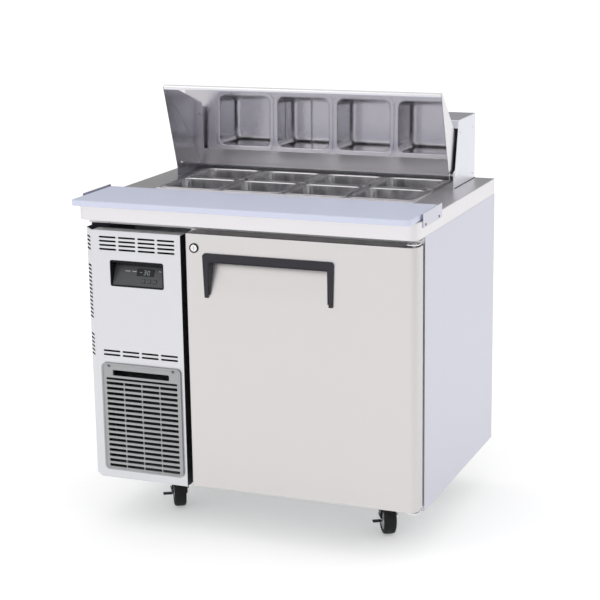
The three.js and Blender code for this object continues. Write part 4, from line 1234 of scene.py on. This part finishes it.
# ---------------------------------------------------------------- refrigeration machine
# Behind the grille stand a finned condenser coil, its fan in a plastic shroud, and the
# compressor's welded steel shell on rubber feet.
copper = Finish("tarnished_copper_tube", (0.10, 0.055, 0.035), 0.4, metallic=1.0)
copper.set("Roughness", copper.noise((80, 80, 80)) * 0.25 + 0.22)
copper.tint(copper.noise((30, 30, 30)), (0.07, 0.038, 0.025), (0.13, 0.075, 0.05))
fin_metal = Finish("dark_coated_fins", (0.05, 0.05, 0.052), 0.5, metallic=0.6)
fin_metal.tint(fin_metal.noise((40, 40, 40)), (0.035, 0.035, 0.037), (0.070, 0.070, 0.073))
low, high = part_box("condenser_coil")
FINS = 72
TUBES = 9
bm = bmesh.new()
for index in range(FINS):
    x = low[0] + 0.012 + (high[0] - low[0] - 0.024) * index / (FINS - 1)
    block(bm, (x - 0.0003, low[1] + 0.002, low[2] + 0.002), (x + 0.0003, high[1] - 0.002, high[2] - 0.002))
for x in (low[0] + 0.008, high[0] - 0.010):
    block(bm, (x, low[1], low[2]), (x + 0.002, high[1], high[2]))
piece("coil_fins", bm, fin_metal, "cabinet", "coil_copper", "condenser_coil")
bm = bmesh.new()
for index in range(TUBES):
    z = low[2] + 0.018 + (high[2] - low[2] - 0.036) * index / (TUBES - 1)
    for y in (low[1] + 0.010, high[1] - 0.010):
        disc(bm, (low[0] + 0.004, y, z), (1, 0, 0), 0.0045, high[0] - low[0] - 0.008, 12)
piece("coil_tubes", bm, copper, "cabinet", "coil_copper")

black_shell = Finish("black_satin_paint", (0.020, 0.020, 0.022), 0.4, IOR=1.5)
black_shell.set("Roughness", black_shell.noise((30, 30, 30)) * 0.2 + 0.32)
black_shell.bump(black_shell.noise((300, 300, 300)), 0.1, 0.0005)
SHELL_OUTLINE = ((0.0, 0.160), (0.030, 0.158), (0.050, 0.151), (0.064, 0.138), (0.071, 0.118), (0.072, 0.074),
                 (0.0745, 0.074), (0.0745, 0.068), (0.072, 0.068), (0.070, 0.030), (0.062, 0.017),
                 (0.045, 0.010), (0.0, 0.008))
low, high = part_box("compressor")
middle = ((low[0] + high[0]) / 2, (low[1] + high[1]) / 2)
bm = bmesh.new()
verts = [bm.verts.new((r, 0, z)) for r, z in SHELL_OUTLINE]
section = [bm.edges.new(pair) for pair in zip(verts, verts[1:])]
bmesh.ops.spin(
    bm, geom=section, cent=(0, 0, 0), axis=(0, 0, 1), angle=2 * math.pi, steps=48, use_merge=True,
    use_duplicate=False
)
bmesh.ops.remove_doubles(bm, verts=bm.verts[:], dist=1e-6)
for x in (-0.052, 0.052):
    for y in (-0.052, 0.052):
        disc(bm, (x, y, 0), (0, 0, 1), 0.012, 0.010, 20)
block(bm, (-0.070, -0.060, 0.009), (0.070, 0.060, 0.012))
block(bm, (0.060, -0.020, 0.070), (0.078, 0.020, 0.112))
bm.transform(Matrix.Translation((middle[0], middle[1], low[2])))
piece("compressor_shell", bm, black_shell, "cabinet", "black_plastic", "compressor", crease=50)

# The fan shroud is a flat plate with a rolled throat; a strap behind it holds the motor.
fan = Vector(next(joint for joint in frame["joints"] if joint["name"] == "fan_spin")["pos_m"])
low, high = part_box("condenser_fan_shroud")
bm = bmesh.new()
edges = loop(bm, 1, low[1], (low[0], low[2]), (high[0], high[2]), 0.006, 4)
edges += ring(bm, (fan.x, low[1], fan.z), (0, 1, 0), 0.0945, 48)
fill(bm, edges, (0, 0.0027, 0))
disc(bm, (fan.x, low[1] + 0.046, fan.z), (0, 1, 0), 0.028, 0.048, 32)
block(bm, (low[0], low[1] + 0.0480, fan.z - 0.006), (high[0], low[1] + 0.0535, fan.z + 0.006))
for x in (low[0], high[0] - 0.008):
    block(bm, (x, low[1] + 0.0027, fan.z - 0.006), (x + 0.008, low[1] + 0.0535, fan.z + 0.006))
piece("fan_shroud_plate", bm, black_shell, "cabinet", "black_plastic", "condenser_fan_shroud", soften=0.0008)

BLADES = 5
low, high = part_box("condenser_fan_blade")
bm = bmesh.new()
disc(bm, (0, low[1] + 0.002, 0), (0, 1, 0), 0.020, 0.026, 32)
for index in range(BLADES):
    made = bmesh.ops.create_grid(bm, x_segments=8, y_segments=6, size=0.5)["verts"]
    for vert in made:
        reach = vert.co.x + 0.5
        wide = 0.030 + 0.034 * reach
        sweep = vert.co.y * wide
        radius = 0.014 + 0.072 * reach
        turn = index * 2 * math.pi / BLADES + sweep / max(radius, 0.03) + reach * 0.25
        vert.co = (
            radius * math.cos(turn), low[1] + 0.013 - sweep * (0.62 - 0.22 * reach), radius * math.sin(turn)
        )
bm.transform(Matrix.Translation((fan.x, 0, fan.z)))
piece("fan_blades", bm, charcoal, "fan", "charcoal_plastic", "condenser_fan_blade", wall=0.0018)

# ---------------------------------------------------------------- evaporator cover
# A satin steel cover hides the evaporator at the back of the cupboard. A wire guard fills its
# round fan mouth, and two slots let the cold air out low down.
MOUTH = (0.145, 0.648, 0.062)
OUTLETS = (((-0.045, 0.575), (0.015, 0.600)), ((0.275, 0.575), (0.335, 0.600)))
low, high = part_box("evaporator_cover")
bm = bmesh.new()
edges = loop(bm, 1, low[1], (low[0], low[2]), (high[0], high[2]), 0)
edges += ring(bm, (MOUTH[0], low[1], MOUTH[1]), (0, 1, 0), MOUTH[2], 48)
for corner_low, corner_high in OUTLETS:
    edges += loop(bm, 1, low[1], corner_low, corner_high, 0.004, 4)
fill(bm, edges)
outer = [
    e for e in bm.edges
    if e.is_boundary and (on(e, x=low[0]) or on(e, x=high[0]) or on(e, z=low[2]) or on(e, z=high[2]))
]
swept = bmesh.ops.extrude_edge_only(bm, edges=outer)["geom"]
bmesh.ops.translate(bm, vec=(0, high[1] - low[1], 0), verts=verts_of(swept))
bevel(bm, folds(bm, 60), 0.003, 4)
piece("evaporator_housing", bm, liner_steel, "cabinet", "liner", "evaporator_cover", wall=0.0012)

bm = bmesh.new()
for radius in (0.014, 0.026, 0.038, 0.050, 0.061):
    verts = [
        bm.verts.new((radius + 0.0011 * math.cos(a), 0.0011 * math.sin(a), 0))
        for a in (math.pi / 3 * s for s in range(6))
    ]
    section = [bm.edges.new(pair) for pair in zip(verts, verts[1:] + verts[:1])]
    bmesh.ops.spin(
        bm, geom=section, cent=(0, 0, 0), axis=(0, 0, 1), angle=2 * math.pi, steps=40, use_merge=True,
        use_duplicate=False
    )
for index in range(4):
    turn = index * math.pi / 4
    disc(
        bm, (-0.062 * math.cos(turn), -0.062 * math.sin(turn), 0), (math.cos(turn), math.sin(turn), 0),
        0.0012, 0.124, 6
    )
bmesh.ops.remove_doubles(bm, verts=bm.verts[:], dist=1e-6)
bm.transform(Matrix.Translation((MOUTH[0], low[1] - 0.001, MOUTH[1])) @ Matrix.Rotation(math.pi / 2, 4, "X"))
piece("evaporator_guard", bm, bright_plate, "cabinet", "chrome")
bm = bmesh.new()
block(
    bm, (low[0] + 0.006, low[1] + 0.045, low[2] + 0.006), (high[0] - 0.006, low[1] + 0.047, high[2] - 0.006)
)
piece("evaporator_back", bm, fin_metal, "cabinet", "galvanised")

# ---------------------------------------------------------------- floor
# The studio floor is one pale sheet that runs past the edges of the view.
bm = bmesh.new()
bmesh.ops.create_grid(bm, x_segments=1, y_segments=1, size=60)
floor_mesh = bpy.data.meshes.new("studio_floor")
bm.to_mesh(floor_mesh)
bm.free()
floor_finish = Finish(
    "floor_white", (0.90, 0.90, 0.90), 0.7, Emission_Color=(1, 1, 1, 1), Emission_Strength=0.30
)
floor_mesh.materials.append(floor_finish.material)
floor = bpy.data.objects.new("studio_floor", floor_mesh)
scene.collection.objects.link(floor)
